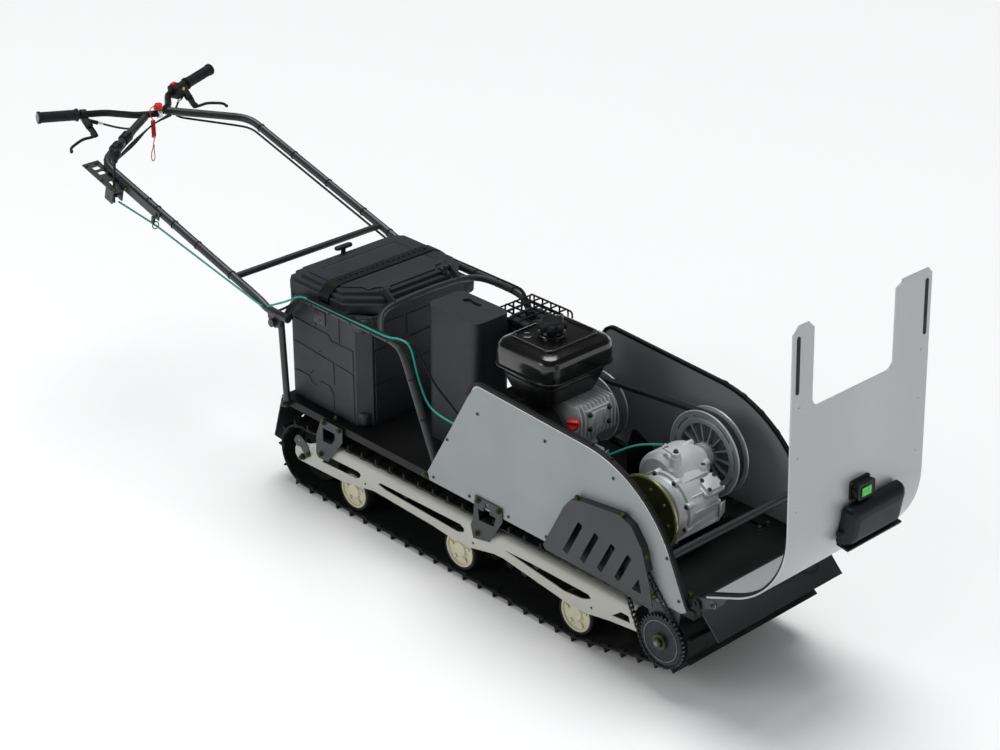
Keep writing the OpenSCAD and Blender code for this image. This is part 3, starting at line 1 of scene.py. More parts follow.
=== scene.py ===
"""Dresses the tracked snow tow vehicle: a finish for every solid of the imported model, and its fine pieces."""
import json
from math import asin, atan2, cos, hypot, pi, radians, sin, sqrt, tan

import bmesh
import bpy
from mathutils import Matrix, Vector

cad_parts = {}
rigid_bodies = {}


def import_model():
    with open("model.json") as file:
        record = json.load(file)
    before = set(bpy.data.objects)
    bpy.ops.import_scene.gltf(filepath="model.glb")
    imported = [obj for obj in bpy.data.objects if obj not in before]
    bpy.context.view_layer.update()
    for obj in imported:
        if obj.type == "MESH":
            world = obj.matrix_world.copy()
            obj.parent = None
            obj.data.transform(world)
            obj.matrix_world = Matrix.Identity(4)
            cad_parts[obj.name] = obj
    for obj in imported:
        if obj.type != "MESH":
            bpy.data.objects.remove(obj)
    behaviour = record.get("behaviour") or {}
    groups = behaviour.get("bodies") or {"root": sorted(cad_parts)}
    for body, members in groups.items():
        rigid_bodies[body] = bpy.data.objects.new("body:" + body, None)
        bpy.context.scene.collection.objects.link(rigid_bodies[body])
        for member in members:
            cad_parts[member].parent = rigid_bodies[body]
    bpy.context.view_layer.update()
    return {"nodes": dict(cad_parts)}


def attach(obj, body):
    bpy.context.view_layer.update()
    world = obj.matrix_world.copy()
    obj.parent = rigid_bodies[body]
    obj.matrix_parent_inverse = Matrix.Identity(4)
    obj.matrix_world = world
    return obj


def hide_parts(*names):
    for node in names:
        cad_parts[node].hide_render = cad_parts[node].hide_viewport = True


bl_info = {
    "name": "Tracked snow tow vehicle",
    "version": (1, 0, 0),
    "blender": (4, 5, 0),
    "location": "3D View > Sidebar > Tow Vehicle",
    "description": "Adds the finishes and the fine pieces of a walk-behind tracked tow vehicle",
    "category": "Object",
}

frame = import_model()
NODES = frame["nodes"]
MM = 0.001
# the CAD part is drawn from the middle of the track and then moved forward by this length
SHIFT = 403.7
FORWARD, ACROSS, UPRIGHT = (1, 0, 0), (0, 1, 0), (0, 0, 1)
MIRROR = Matrix.Scale(-1, 4, ACROSS)
ORIGIN = (-SHIFT, 0, 0)


def tone(code):
    """Linear colour of a six-figure screen colour."""
    channels = [int(code[i:i + 2], 16) / 255 for i in (0, 2, 4)]
    return tuple(c / 12.92 if c < 0.04045 else ((c + 0.055) / 1.055) ** 2.4 for c in channels)


def colour_property(name, code, words):
    return bpy.props.FloatVectorProperty(name=name, description=words, subtype="COLOR", size=3, min=0, max=1,
                                         default=tone(code))


def length_property(name, value, words, high):
    return bpy.props.FloatProperty(name=name, description=words, default=value, min=0.1, max=high)


class TowColours(bpy.types.PropertyGroup):
    """Colours of the vehicle"""
    coat: colour_property("Frame coat", "1c2225", "Powder coat on tubes and sheet")
    panel: colour_property("Side panel", "929898", "Paint of the side panels")
    hood: colour_property("Hood", "b9b9bd", "Brushed sheet of the hood")
    rail: colour_property("Slide rail", "b6b7ae", "Paint of the slide rails")
    hub: colour_property("Wheel hub", "c9c5ab", "Plastic of the road wheel hubs")
    rubber: colour_property("Rubber", "121415", "Track, trims and tyres")
    plastic: colour_property("Box plastic", "1a2228", "Cargo box and lid")
    tank: colour_property("Tank", "070809", "Fuel tank and cap")
    cast: colour_property("Casting", "cfd3d4", "Gearbox and crankcase")
    red: colour_property("Red plastic", "e01d1c", "Tether clip, dipstick and rocker")
    yellow: colour_property("Yellow plastic", "e8c21c", "Start button")
    teal: colour_property("Shift cable", "0f8f80", "Jacket of the shift cable")
    floor: colour_property("Floor", "fafafa", "Studio floor")


class TowSizes(bpy.types.PropertyGroup):
    """Sizes of fine pieces, in millimetres"""
    pad_width: length_property("Lug pad width", 58, "Width of a block on a track lug, in mm", 90)
    pad_thick: length_property("Lug pad thickness", 15, "Thickness of a block on a track lug, in mm", 25)
    # width of the pale strip that is a painted highlight along a side panel's top edge
    painted_highlight_width: length_property("Panel edge", 3.0, "Width of the bright edge of a side panel, in mm", 6)
    grip_rib: length_property("Grip rib", 1.2, "Depth of the ribs of a grip, in mm", 3)
    roller: length_property("Chain roller", 7.6, "Diameter of a chain roller, in mm", 8.4)
    screw: length_property("Screw", 5, "Thread of a side panel screw, in mm", 8)


def colours():
    return bpy.context.scene.tow_colours


def sizes():
    return bpy.context.scene.tow_sizes


def at(x, y, z):
    """Place in metres of a point that is measured in millimetres from the middle of the track."""
    return Vector(((x + SHIFT) * MM, y * MM, z * MM))


def loc(x, y, z):
    """Point of a piece that is drawn at the origin and set in its place later."""
    return (x - SHIFT, y, z)


def origin_outline(outline):
    """Outline in x and z of a plate that is drawn at the origin."""
    return [(x - SHIFT, z) for x, z in outline]


def point_of(place, u, v, w):
    """Point of a placed template, measured in millimetres from the middle of the track."""
    p = place @ (Vector((u, v, w)) * MM)
    return (p.x / MM - SHIFT, p.y / MM, p.z / MM)


def ray(angle):
    """Unit vector in x and z."""
    return Vector((cos(angle), sin(angle)))


def route(points, cut, steps=5):
    """The same points with their corners rounded, as in the CAD part."""
    p = [Vector(q) for q in points]
    out = [p[0]]
    for a, b, c in zip(p, p[1:], p[2:]):
        start = b + (a - b).normalized() * min(cut, (a - b).length * 0.45)
        end = b + (c - b).normalized() * min(cut, (c - b).length * 0.45)
        for k in range(steps + 1):
            t = k / steps
            out.append(start * (1 - t) ** 2 + b * (2 * t * (1 - t)) + end * t ** 2)
    return out + [p[-1]]


def deselect():
    if bpy.context.mode != "OBJECT":
        bpy.ops.object.mode_set(mode="OBJECT")
    bpy.ops.object.select_all(action="DESELECT")


def active(piece):
    deselect()
    piece.select_set(True)
    bpy.context.view_layer.objects.active = piece
    return piece


def smooth(piece, angle=35):
    active(piece)
    bpy.ops.object.shade_smooth_by_angle(angle=radians(angle))
    return piece


def rounded(piece, edge, steps=2, angle=30):
    """Rounds the sharp edges with a bevel that is applied."""
    if edge > 0:
        active(piece)
        bevel = piece.modifiers.new("Edge", "BEVEL")
        bevel.width = edge * MM
        bevel.segments = steps
        bevel.limit_method = "ANGLE"
        bevel.angle_limit = radians(angle)
        bpy.ops.object.modifier_apply(modifier=bevel.name)
    return smooth(piece)


def pick(piece, test, kind="FACE"):
    """Goes to edit mode and selects the faces or edges that pass a test."""
    active(piece)
    bpy.ops.object.mode_set(mode="EDIT")
    bpy.ops.mesh.select_mode(type=kind)
    bpy.ops.mesh.select_all(action="DESELECT")
    mesh = bmesh.from_edit_mesh(piece.data)
    for part in (mesh.faces if kind == "FACE" else mesh.edges):
        if test(part):
            part.select_set(True)
    bmesh.update_edit_mesh(piece.data)


def facing(x, y, z):
    way = Vector((x, y, z))
    return lambda face: face.normal.dot(way) > 0.9


def upright_edge(edge):
    a, b = (v.co for v in edge.verts)
    return abs((b - a).normalized().z) > 0.99


def block(low, high, edge=1.5, steps=2, corner=0, taper=1.0, sides=()):
    """Box between two corners, with round upright corners, a taper and sunk or raised fields on its sides."""
    deselect()
    a, b = at(*low), at(*high)
    bpy.ops.mesh.primitive_cube_add(size=1, location=(a + b) / 2, scale=b - a)
    piece = active(bpy.context.object)
    bpy.ops.object.transform_apply(location=True, rotation=True, scale=True)
    if corner:
        pick(piece, upright_edge, "EDGE")
        bpy.ops.mesh.bevel(offset=corner * MM, segments=6, affect="EDGES")
        bpy.ops.object.mode_set(mode="OBJECT")
    if taper != 1.0:
        pick(piece, facing(*UPRIGHT))
        bpy.ops.transform.resize(value=(taper, taper, 1))
        bpy.ops.object.mode_set(mode="OBJECT")
    for way, fields in sides:
        pick(piece, facing(*way))
        for inset, lift in fields:
            bpy.ops.mesh.inset(thickness=inset * MM, depth=lift * MM)
        bpy.ops.object.mode_set(mode="OBJECT")
    return rounded(piece, edge, steps)


def drum(start, end, radius, edge=0.8, sides=40, tip=None, steps=2):
    """Round bar or cone between two points."""
    deselect()
    a, b = at(*start), at(*end)
    way = b - a
    bpy.ops.mesh.primitive_cone_add(vertices=sides, radius1=radius * MM,
                                    radius2=(radius if tip is None else tip) * MM, depth=way.length,
                                    location=(a + b) / 2, rotation=way.to_track_quat("Z", "Y").to_euler())
    piece = active(bpy.context.object)
    bpy.ops.object.transform_apply(location=True, rotation=True, scale=True)
    return rounded(piece, edge, steps)


def outlined(places, fill="NGON"):
    """New closed line or face through places in metres, left in edit mode and selected all over."""
    deselect()
    bpy.ops.mesh.primitive_circle_add(vertices=len(places), radius=1, fill_type=fill, location=(0, 0, 0))
    piece = bpy.context.object
    for vertex, place in zip(piece.data.vertices, places):
        vertex.co = place
    bpy.ops.object.mode_set(mode="EDIT")
    bpy.ops.mesh.select_all(action="SELECT")
    return piece


def faced_out():
    """Turns every face outwards and leaves edit mode."""
    bpy.ops.mesh.select_all(action="SELECT")
    bpy.ops.mesh.normals_make_consistent(inside=False)
    bpy.ops.object.mode_set(mode="OBJECT")


def turn_to(way):
    """Turn that lays the z axis of a template along a way."""
    return Vector(way).to_track_quat("Z", "Y").to_matrix().to_4x4()


def turned(profile, centre, way=ACROSS, sides=48, angle=35):
    """Round piece: a closed line of (radius, distance along the axis) points, spun round an axis."""
    piece = outlined([(max(radius, 0.02) * MM, 0, along * MM) for radius, along in profile], "NOTHING")
    bpy.ops.mesh.spin(steps=sides, angle=2 * pi, center=(0, 0, 0), axis=UPRIGHT)
    bpy.ops.mesh.select_all(action="SELECT")
    bpy.ops.mesh.remove_doubles(threshold=0.000004)
    faced_out()
    piece.data.transform(Matrix.Translation(at(*centre)) @ turn_to(way))
    return smooth(piece, angle)


def plate(outline, y0, y1, edge=0.6, steps=2):
    """Upright plate: an outline in x and z, extruded from y0 to y1."""
    piece = outlined([at(x, y0, z) for x, z in outline])
    bpy.ops.mesh.extrude_region_move(TRANSFORM_OT_translate={"value": (0, (y1 - y0) * MM, 0)})
    faced_out()
    return rounded(piece, edge, steps)


def wire(points, diameter, closed=False, sides=4):
    """Curve along points, with a round section."""
    deselect()
    bpy.ops.curve.primitive_bezier_curve_add(location=(0, 0, 0))
    piece = bpy.context.object
    piece.data.splines.clear()
    line = piece.data.splines.new("POLY")
    line.points.add(len(points) - 1)
    for point, place in zip(line.points, points):
        point.co = (*at(*place), 1)
    line.use_cyclic_u = closed
    line.use_smooth = True
    piece.data.dimensions = "3D"
    piece.data.bevel_depth = diameter / 2 * MM
    piece.data.bevel_resolution = sides
    piece.data.use_fill_caps = not closed
    return piece


def pipe(points, diameter, closed=False, sides=4):
    """Round bar or cable along points, as a mesh."""
    active(wire(points, diameter, closed, sides))
    bpy.ops.object.convert(target="MESH")
    return smooth(bpy.context.object, 40)


def moved(piece, *places):
    """The piece and a copy of it at each place, each with its own mesh."""
    out = [piece]
    for place in places:
        other = piece.copy()
        other.data = piece.data.copy()
        other.data.transform(place)
        if place.determinant() < 0:
            other.data.flip_normals()
        bpy.context.collection.objects.link(other)
        out.append(other)
    return out


def mirrored(piece):
    """The piece and its twin on the other side of the vehicle."""
    return moved(piece, MIRROR)


def scattered(template, places):
    """One piece made of a copy of a template at each place."""
    mesh = bmesh.new()
    for place in places:
        part = template.data.copy()
        part.transform(place)
        mesh.from_mesh(part)
        bpy.data.meshes.remove(part)
    mesh.to_mesh(template.data)
    mesh.free()
    return smooth(template)


def painted(piece, material):
    piece.data.materials.clear()
    piece.data.materials.append(finish(material))
    return piece


def joined(pieces):
    active(pieces[0])
    for piece in pieces:
        piece.select_set(True)
    bpy.ops.object.join()
    return bpy.context.object


def fitted(name, pieces, body, material=None, replaces=()):
    """Names the piece, gives it its finish and puts it on its body."""
    pieces = pieces if isinstance(pieces, list) else [pieces]
    for piece in pieces:
        if material:
            painted(piece, material)
    piece = joined(pieces) if len(pieces) > 1 else pieces[0]
    piece.name = name
    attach(piece, body)
    if replaces:
        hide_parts(*replaces)
    return piece


def from_z(point, way, scale=1.0):
    """Place that stands a template with its axis along z at a point, along a way."""
    return Matrix.Translation(at(*point)) @ turn_to(way) @ Matrix.Scale(scale, 4)


def screw_template(kind):
    """Screw for a thread of 1 mm: a washer with a hexagon or a button head, its axis along z."""
    washer = painted(drum(ORIGIN, loc(0, 0, 0.22), 1.05, 0.05, 24), "zinc" if kind == "hexagon" else "steel")
    if kind == "hexagon":
        head = drum(loc(0, 0, 0.2), loc(0, 0, 0.95), 0.88, 0.08, 6)
        tip = drum(loc(0, 0, 0.9), loc(0, 0, 1.25), 0.48, 0.1, 12)
        return joined([washer, painted(head, "zinc"), painted(tip, "zinc")])
    profile = [(0, 0.2), (0.82, 0.2), (0.82, 0.35), (0.62, 0.62), (0.36, 0.72), (0.3, 0.5), (0, 0.48)]
    return joined([washer, painted(turned(profile, ORIGIN, UPRIGHT, 20), "coat")])


def screws(name, places, size, kind, body, replaces=()):
    """Screws at points, each with the way in which its head looks."""
    piece = scattered(screw_template(kind), [from_z(point, way, size) for point, way in places])
    return fitted(name, piece, body, replaces=replaces)


def group(name, inputs, outputs):
    """New shader node group with named sockets, and its input and output nodes."""
    tree = bpy.data.node_groups.new(name, "ShaderNodeTree")
    kinds = {"colour": "NodeSocketColor", "value": "NodeSocketFloat", "vector": "NodeSocketVector"}
    for label, kind in inputs:
        tree.interface.new_socket(label, in_out="INPUT", socket_type=kinds[kind])
    for label, kind in outputs:
        tree.interface.new_socket(label, in_out="OUTPUT", socket_type=kinds[kind])
    return tree, tree.nodes.new("NodeGroupInput"), tree.nodes.new("NodeGroupOutput")


def node(tree, kind, links=(), **values):
    """Adds a shader node, sets its values and links its inputs."""
    made = tree.nodes.new("ShaderNode" + kind)
    for key, value in values.items():
        setattr(made, key, value)
    for socket, source in links:
        if isinstance(source, bpy.types.NodeSocket):
            tree.links.new(source, made.inputs[socket])
        else:
            made.inputs[socket].default_value = source
    return made


def put_out(tree, end, **sources):
    """Links a group's outputs and gives the group back."""
    for label, source in sources.items():
        tree.links.new(source, end.inputs[label])
    return tree


def surface_group():
    """Base colour in soft patches with fine speckle, uneven roughness and a grain."""
    tree, start, end = group("Uneven Surface", [
        ("Base", "colour"), ("Shade", "colour"), ("Patch Scale", "value"), ("Speckle", "value"),
        ("Grain Scale", "value"), ("Grain Depth", "value"), ("Rough Low", "value"), ("Rough High", "value"),
        ("Stretch", "vector")], [("Colour", "colour"), ("Roughness", "value"), ("Normal", "vector")])
    i = start.outputs
    place = node(tree, "TexCoord").outputs["Object"]
    spread = node(tree, "VectorMath", [(0, place), (1, i["Stretch"])], operation="MULTIPLY").outputs[0]
    patch = node(tree, "TexNoise", [("Vector", spread), ("Scale", i["Patch Scale"]),
                                    ("Detail", 3.0)]).outputs["Fac"]
    soft = node(tree, "MapRange", [("Value", patch), ("From Min", 0.35), ("From Max", 0.65)]).outputs[0]
    mixed = node(tree, "Mix", [(0, soft), (6, i["Base"]), (7, i["Shade"])], data_type="RGBA").outputs[2]
    grain = node(tree, "TexNoise", [("Vector", spread), ("Scale", i["Grain Scale"]),
                                    ("Detail", 2.0)]).outputs["Fac"]
    dots = node(tree, "MapRange", [("Value", grain), ("From Min", 0.55), ("From Max", 0.8),
                                   ("To Max", i["Speckle"])])
    light = node(tree, "Mix", [(0, dots.outputs[0]), (6, mixed), (7, (0.7, 0.7, 0.7, 1))],
                 data_type="RGBA").outputs[2]
    rough = node(tree, "MapRange", [("Value", patch), ("From Min", 0.3), ("From Max", 0.7),
                                    ("To Min", i["Rough Low"]), ("To Max", i["Rough High"])]).outputs[0]
    bump = node(tree, "Bump", [("Height", grain), ("Strength", 1.0),
                               ("Distance", i["Grain Depth"])]).outputs[0]
    return put_out(tree, end, Colour=light, Roughness=rough, Normal=bump)


def edge_group():
    """Rounds the look of sharp edges and lightens them where the coat is thin."""
    tree, start, end = group("Worn Edges", [("Colour", "colour"), ("Edge", "colour"), ("Amount", "value"),
                                            ("Radius", "value"), ("Normal", "vector")],
                             [("Colour", "colour"), ("Normal", "vector")])
    i = start.outputs
    bevel = node(tree, "Bevel", [("Radius", i["Radius"]), ("Normal", i["Normal"])], samples=4).outputs[0]
    face = node(tree, "NewGeometry").outputs["Normal"]
    plain = node(tree, "Bevel", [("Radius", i["Radius"])], samples=4).outputs[0]
    close = node(tree, "VectorMath", [(0, plain), (1, face)], operation="DOT_PRODUCT").outputs["Value"]
    mask = node(tree, "MapRange", [("Value", close), ("From Min", 0.99), ("From Max", 0.86),
                                   ("To Max", i["Amount"])])
    place = node(tree, "TexCoord").outputs["Object"]
    chips = node(tree, "TexNoise", [("Vector", place), ("Scale", 60.0), ("Detail", 2.0)]).outputs["Fac"]
    broken = node(tree, "MapRange", [("Value", chips), ("From Min", 0.3), ("From Max", 0.6)]).outputs[0]
    share = node(tree, "Math", [(0, mask.outputs[0]), (1, broken)], operation="MULTIPLY").outputs[0]
    mixed = node(tree, "Mix", [(0, share), (6, i["Colour"]), (7, i["Edge"])], data_type="RGBA").outputs[2]
    return put_out(tree, end, Colour=mixed, Normal=bevel)


def knurl_group():
    """Small raised cells for grips."""
    tree, start, end = group("Knurl", [("Scale", "value"), ("Depth", "value"), ("Normal", "vector")],
                             [("Normal", "vector")])
    i = start.outputs
    place = node(tree, "TexCoord").outputs["Object"]
    cells = node(tree, "TexVoronoi", [("Vector", place), ("Scale", i["Scale"])]).outputs["Distance"]
    bump = node(tree, "Bump", [("Height", cells), ("Strength", 0.8), ("Distance", i["Depth"]),
                               ("Normal", i["Normal"])]).outputs[0]
    return put_out(tree, end, Normal=bump)


GROUPS = {"Uneven Surface": surface_group, "Worn Edges": edge_group, "Knurl": knurl_group}
SURFACE_VALUES = ("Base", "Shade", "Patch Scale", "Speckle", "Grain Scale", "Grain Depth", "Rough Low",
                  "Rough High", "Stretch")


def effect(material, name, links):
    """Places a shared effect in a material, with this material's own values."""
    tree = bpy.data.node_groups.get(name) or GROUPS[name]()
    return node(material.node_tree, "Group", links, node_tree=tree).outputs


def new_material(name, base, shade, *values):
    """Material with the uneven surface, its shader and that surface's outputs."""
    material = bpy.data.materials.new(name)
    material.use_nodes = True
    shader = material.node_tree.nodes["Principled BSDF"]
    out = effect(material, "Uneven Surface", zip(SURFACE_VALUES, ((*base, 1), (*shade, 1), *values)))
    put_out(material.node_tree, shader, **{"Base Color": out["Colour"], "Roughness": out["Roughness"],
                                           "Normal": out["Normal"]})
    return material, shader, out


def finishes():
    """Values of each finish: colour, its share in the patches, low and high roughness, and what isn't plain
    of metal, patch and grain scales, grain depth in metres, speckle, coat, edges, wear and stretch."""
    c = colours()
    plain = dict(metal=0.0, patch=7.0, grain=900.0, depth=0.00004, speckle=0.0, coat=0.0, edge="6b7074",
                 worn=0.25, stretch=(1, 1, 1), radius=0.0009, knurl=False, emit=0.0)

    def f(base, shade, low, high, **more):
        base = tone(base) if isinstance(base, str) else tuple(base)
        shade = tuple(channel * shade for channel in base)
        return {**plain, "base": base, "shade": shade, "low": low, "high": high, **more}

    return {
        "coat": f(c.coat, 0.8, 0.36, 0.48, speckle=0.03, coat=0.15),
        "coat_dark": f("060709", 0.8, 0.4, 0.5, speckle=0.0, worn=0.1),
        "panel": f(c.panel, 0.95, 0.38, 0.46, metal=0.25, grain=1400.0, depth=0.00002, edge="d8dcdc",
                   worn=0.6, speckle=0.03),
        "hood": f(c.hood, 0.95, 0.3, 0.4, metal=0.3, patch=3.0, grain=260.0, depth=0.000012, edge="f0f0f2",
                  worn=0.8, stretch=(0.05, 1, 0.05), speckle=0.05),
        # pale metal of rims and adjusters; along the side panels' top edges this pale strip is a painted
        # highlight
        "bright_metal_and_highlight": f("e9ecec", 0.92, 0.25, 0.35, metal=0.5, grain=600.0, depth=0.00001),
        "rail": f(c.rail, 0.92, 0.35, 0.48, metal=0.1, patch=5.0, edge="dcdcd2", worn=0.4),
        "hub": f(c.hub, 0.88, 0.4, 0.5, patch=30.0, grain=700.0, depth=0.00003, edge="e9e6d2"),
        "rubber": f(c.rubber, 0.7, 0.62, 0.8, patch=20.0, grain=500.0, depth=0.00012, speckle=0.05,
                    edge="484b4d", worn=0.35),
        "guide": f("4b443d", 0.7, 0.55, 0.7, patch=40.0, grain=500.0, depth=0.00012, speckle=0.05,
                   edge="7d756c"),
        "trim": f("0c0e0f", 0.8, 0.45, 0.6, patch=30.0, grain=700.0, depth=0.00005, edge="3a3d40"),
        "grip": f("191c1f", 0.8, 0.55, 0.7, patch=40.0, grain=900.0, depth=0.00008, knurl=True),
        "grip_end": f("7e8489", 0.85, 0.4, 0.5, grain=900.0),
        "box": f(c.plastic, 0.88, 0.5, 0.62, grain=1100.0, depth=0.00010, edge="6c7278", worn=0.4,
                 radius=0.0014, speckle=0.03),
        "plastic": f("111518", 0.85, 0.42, 0.55, grain=1200.0, depth=0.00007, edge="50555a"),
        "air_box": f("20272c", 0.9, 0.46, 0.6, grain=1300.0, depth=0.00008, edge="6a7076", radius=0.002),
        "tank": f(c.tank, 0.9, 0.16, 0.24, coat=0.6, patch=10.0, grain=900.0, depth=0.000004, worn=0.0),
        "engine_black": f("0d0e10", 0.8, 0.3, 0.45, coat=0.2, edge="3c3f42"),
        "cast": f(c.cast, 0.88, 0.34, 0.46, metal=0.3, patch=18.0, grain=650.0, depth=0.00018,
                  edge="e3e6e8", radius=0.0015),
        "muffler": f("1a1f2c", 0.8, 0.4, 0.55, metal=0.2, patch=25.0, grain=500.0, depth=0.0001,
                     edge="596070"),
        "zinc": f("475136", 0.7, 0.28, 0.42, metal=0.85, patch=60.0, grain=1500.0, depth=0.00003,
                  edge="8f9a70"),
        "disc": f("5a5f3c", 0.85, 0.25, 0.38, metal=0.8, patch=8.0, grain=500.0, depth=0.00002,
                  edge="c9c48c", worn=0.8, radius=0.0012),
        "disc_rim": f("d3cf9a", 0.9, 0.22, 0.32, metal=0.85, grain=900.0, depth=0.00002),
        "steel": f("7b8083", 0.8, 0.25, 0.4, metal=0.9, patch=40.0, grain=1200.0, depth=0.00003,
                   edge="c6cacd"),
        "dark_steel": f("34383a", 0.8, 0.3, 0.45, metal=0.85, patch=40.0, grain=900.0, depth=0.00004,
                        edge="8a8f93", worn=0.5),
        "chain_plate": f("1d2022", 0.8, 0.35, 0.5, metal=0.6, patch=60.0, grain=900.0, depth=0.00003,
                         edge="8a8f93", worn=0.5, radius=0.0005),
        "pulley": f("8e979a", 0.88, 0.3, 0.42, metal=0.35, patch=15.0, grain=800.0, depth=0.00005,
                    edge="c8cdd0", worn=0.7, radius=0.0012),
        # darker grey of the recess floor between the driven pulley's ribs: painted shade
        "groove": f("575d60", 0.85, 0.4, 0.5, metal=0.6),
        "red": f(c.red, 0.85, 0.28, 0.38, coat=0.3, patch=40.0, grain=700.0, depth=0.00003, edge="ff5a50"),
        "red_cord": f("c8211c", 0.8, 0.5, 0.62, patch=200.0, grain=2500.0, depth=0.00006, worn=0.0),
        "yellow": f(c.yellow, 0.88, 0.28, 0.38, coat=0.3, patch=40.0, grain=700.0, depth=0.00003),
        "teal": f(c.teal, 0.85, 0.35, 0.5, patch=60.0, grain=900.0, depth=0.00003, worn=0.0),
        "cable": f("0e0f10", 0.85, 0.42, 0.55, patch=60.0, grain=900.0, depth=0.00003, worn=0.0),
        "belt": f("1d1f20", 0.75, 0.6, 0.75, patch=30.0, grain=600.0, depth=0.00015),
        "display": f("2fae3e", 0.5, 0.2, 0.3, patch=120.0, grain=400.0, depth=0.0, emit=0.6, worn=0.0),
    }


# finishes darker than this reflect less of the white surroundings
DARK = 0.02


def finish(key):
    """The material of a finish, made when it is first asked for."""
    name = "Tow " + key.replace("_", " ")
    if name in bpy.data.materials:
        return bpy.data.materials[name]
    if key == "lens":
        return glass(name)
    v = finishes()[key]
    material, shader, out = new_material(name, v["base"], v["shade"], v["patch"], v["speckle"], v["grain"],
                                         v["depth"], v["low"], v["high"], v["stretch"])
    colour, normal = out["Colour"], out["Normal"]
    if v["knurl"]:
        values = [("Scale", 420.0), ("Depth", 0.0006), ("Normal", normal)]
        normal = effect(material, "Knurl", values)["Normal"]
    if v["worn"]:
        values = [("Colour", colour), ("Edge", (*tone(v["edge"]), 1)), ("Amount", v["worn"]),
                  ("Radius", v["radius"]), ("Normal", normal)]
        edges = effect(material, "Worn Edges", values)
        colour, normal = edges["Colour"], edges["Normal"]
    put_out(material.node_tree, shader, **{"Base Color": colour, "Normal": normal})
    shader.inputs["Metallic"].default_value = v["metal"]
    shader.inputs["Coat Weight"].default_value = v["coat"]
    shader.inputs["Coat Roughness"].default_value = 0.15
    if max(v["base"]) < DARK and not v["coat"]:
        shader.inputs["Specular IOR Level"].default_value = 0.25
    if v["emit"]:
        put_out(material.node_tree, shader, **{"Emission Color": colour})
        shader.inputs["Emission Strength"].default_value = v["emit"]
    return material


def glass(name):
    """Clear lamp lens with a faint moulded pattern."""
    material, shader, _ = new_material(name, (0.86, 0.9, 0.93), (0.7, 0.75, 0.8), 90.0, 0.0, 160.0, 0.0004,
                                       0.05, 0.12, (0.2, 1, 0.2))
    shader.inputs["Transmission Weight"].default_value = 0.85
    shader.inputs["IOR"].default_value = 1.49
    return material


NODE_FINISH = {
    "coat": "rear_apron nose_plate hangers tube_frame chain_guard hood_hinges handle_frame shift_gate",
    "coat_dark": "deck wheel_axles muffler_guard tow_hitch handlebar",
    "panel": "side_panels", "hood": "hood_panel", "rail": "slide_rails", "rubber": "track idler_wheels",
    "trim": "edge_trims hood_seal box_strap", "belt": "v_belt", "grip": "grips",
    "plastic": "lamp_housing pod bar_controls throttle_lever brake_lever shift_lever",
    "box": "cargo_box box_lid", "air_box": "air_box", "tank": "fuel_tank fuel_cap",
    "engine_black": "engine_shroud",
    "cast": "engine_block gearbox selector_arm", "muffler": "muffler", "zinc": "bolts", "disc": "brake_disc",
    "dark_steel": "drive_shaft output_shaft drive_chain", "pulley": "driven_pulley drive_pulley",
    "hub": "bogie_rear bogie_mid bogie_front", "red": "dipstick tether_clip kill_rocker tether_cord",
    "yellow": "start_button", "teal": "shift_cable handle_shift_cable", "cable": "body_cables handle_cables",
    "display": "pod_face", "lens": "lamp_lens",
}


def set_in(piece, place):
    piece.data.transform(place)
    if place.determinant() < 0:
        piece.data.flip_normals()
    return piece


def stacked(x0, x1, y0, y1, z, corner, steps, edge=1.5, segments=3, angle=20):
    """Body of rounded rectangles: each step rises by a height and grows by a width on every side."""
    points = []
    for cx, cy, first in ((x1 - corner, y1 - corner, 0), (x0 + corner, y1 - corner, 90),
                          (x0 + corner, y0 + corner, 180), (x1 - corner, y0 + corner, 270)):
        for k in range(9):
            a = radians(first + 90 * k / 8)
            points.append(at(cx + corner * cos(a), cy + corner * sin(a), z))
    piece = outlined(points)
    wide, deep, height = (x1 - x0) / 2, (y1 - y0) / 2, z
    middle = ((x0 + x1) / 2, (y0 + y1) / 2)
    for rise, grow in steps:
        height += rise
        bpy.ops.mesh.extrude_region_move(TRANSFORM_OT_translate={"value": (0, 0, rise * MM)})
        if grow:
            bpy.ops.transform.resize(value=((wide + grow) / wide, (deep + grow) / deep, 1),
                                     center_override=at(*middle, height))
            wide, deep = wide + grow, deep + grow
    faced_out()
    return rounded(piece, edge, segments, angle)


def cut(piece, cutters, crossed=False):
    """Cuts the joined cutters out of a piece."""
    cutter = joined(cutters) if len(cutters) > 1 else cutters[0]
    active(piece)
    change = piece.modifiers.new("Cut", "BOOLEAN")
    change.object = cutter
    change.solver = "EXACT"
    change.use_self = crossed
    bpy.ops.object.modifier_apply(modifier=change.name)
    bpy.data.objects.remove(cutter)
    return smooth(piece)


def around(count, start=0.0):
    """Evenly spaced angles of one turn."""
    return [start + 2 * pi * k / count for k in range(count)]


def ring_of(count, radius, start=0.0):
    """Offsets of evenly spaced points on a circle."""
    return [(radius * cos(a), radius * sin(a)) for a in around(count, start)]


def turns(centre, angles):
    """Places that turn a template about the cross axis through a point."""
    return [Matrix.Translation(at(*centre)) @ Matrix.Rotation(a, 4, "Y") for a in angles]


def band(point, way, radius, width=5):
    """Tie or clamp band round a tube."""
    half, outer = width / 2, radius + 1.4
    return turned([(radius, -half), (outer, 0.6 - half), (outer, half - 0.6), (radius, half)], point, way, 28)


CRANK, OUTPUT, DRIVEN, AXLE = (70, 455), (536, 420), (482, 470), (705, 165)
# place in x and y of the upright shaft that the shift cable turns, and the height of the deck
SELECTOR, DECK = (540, -50), 288.3


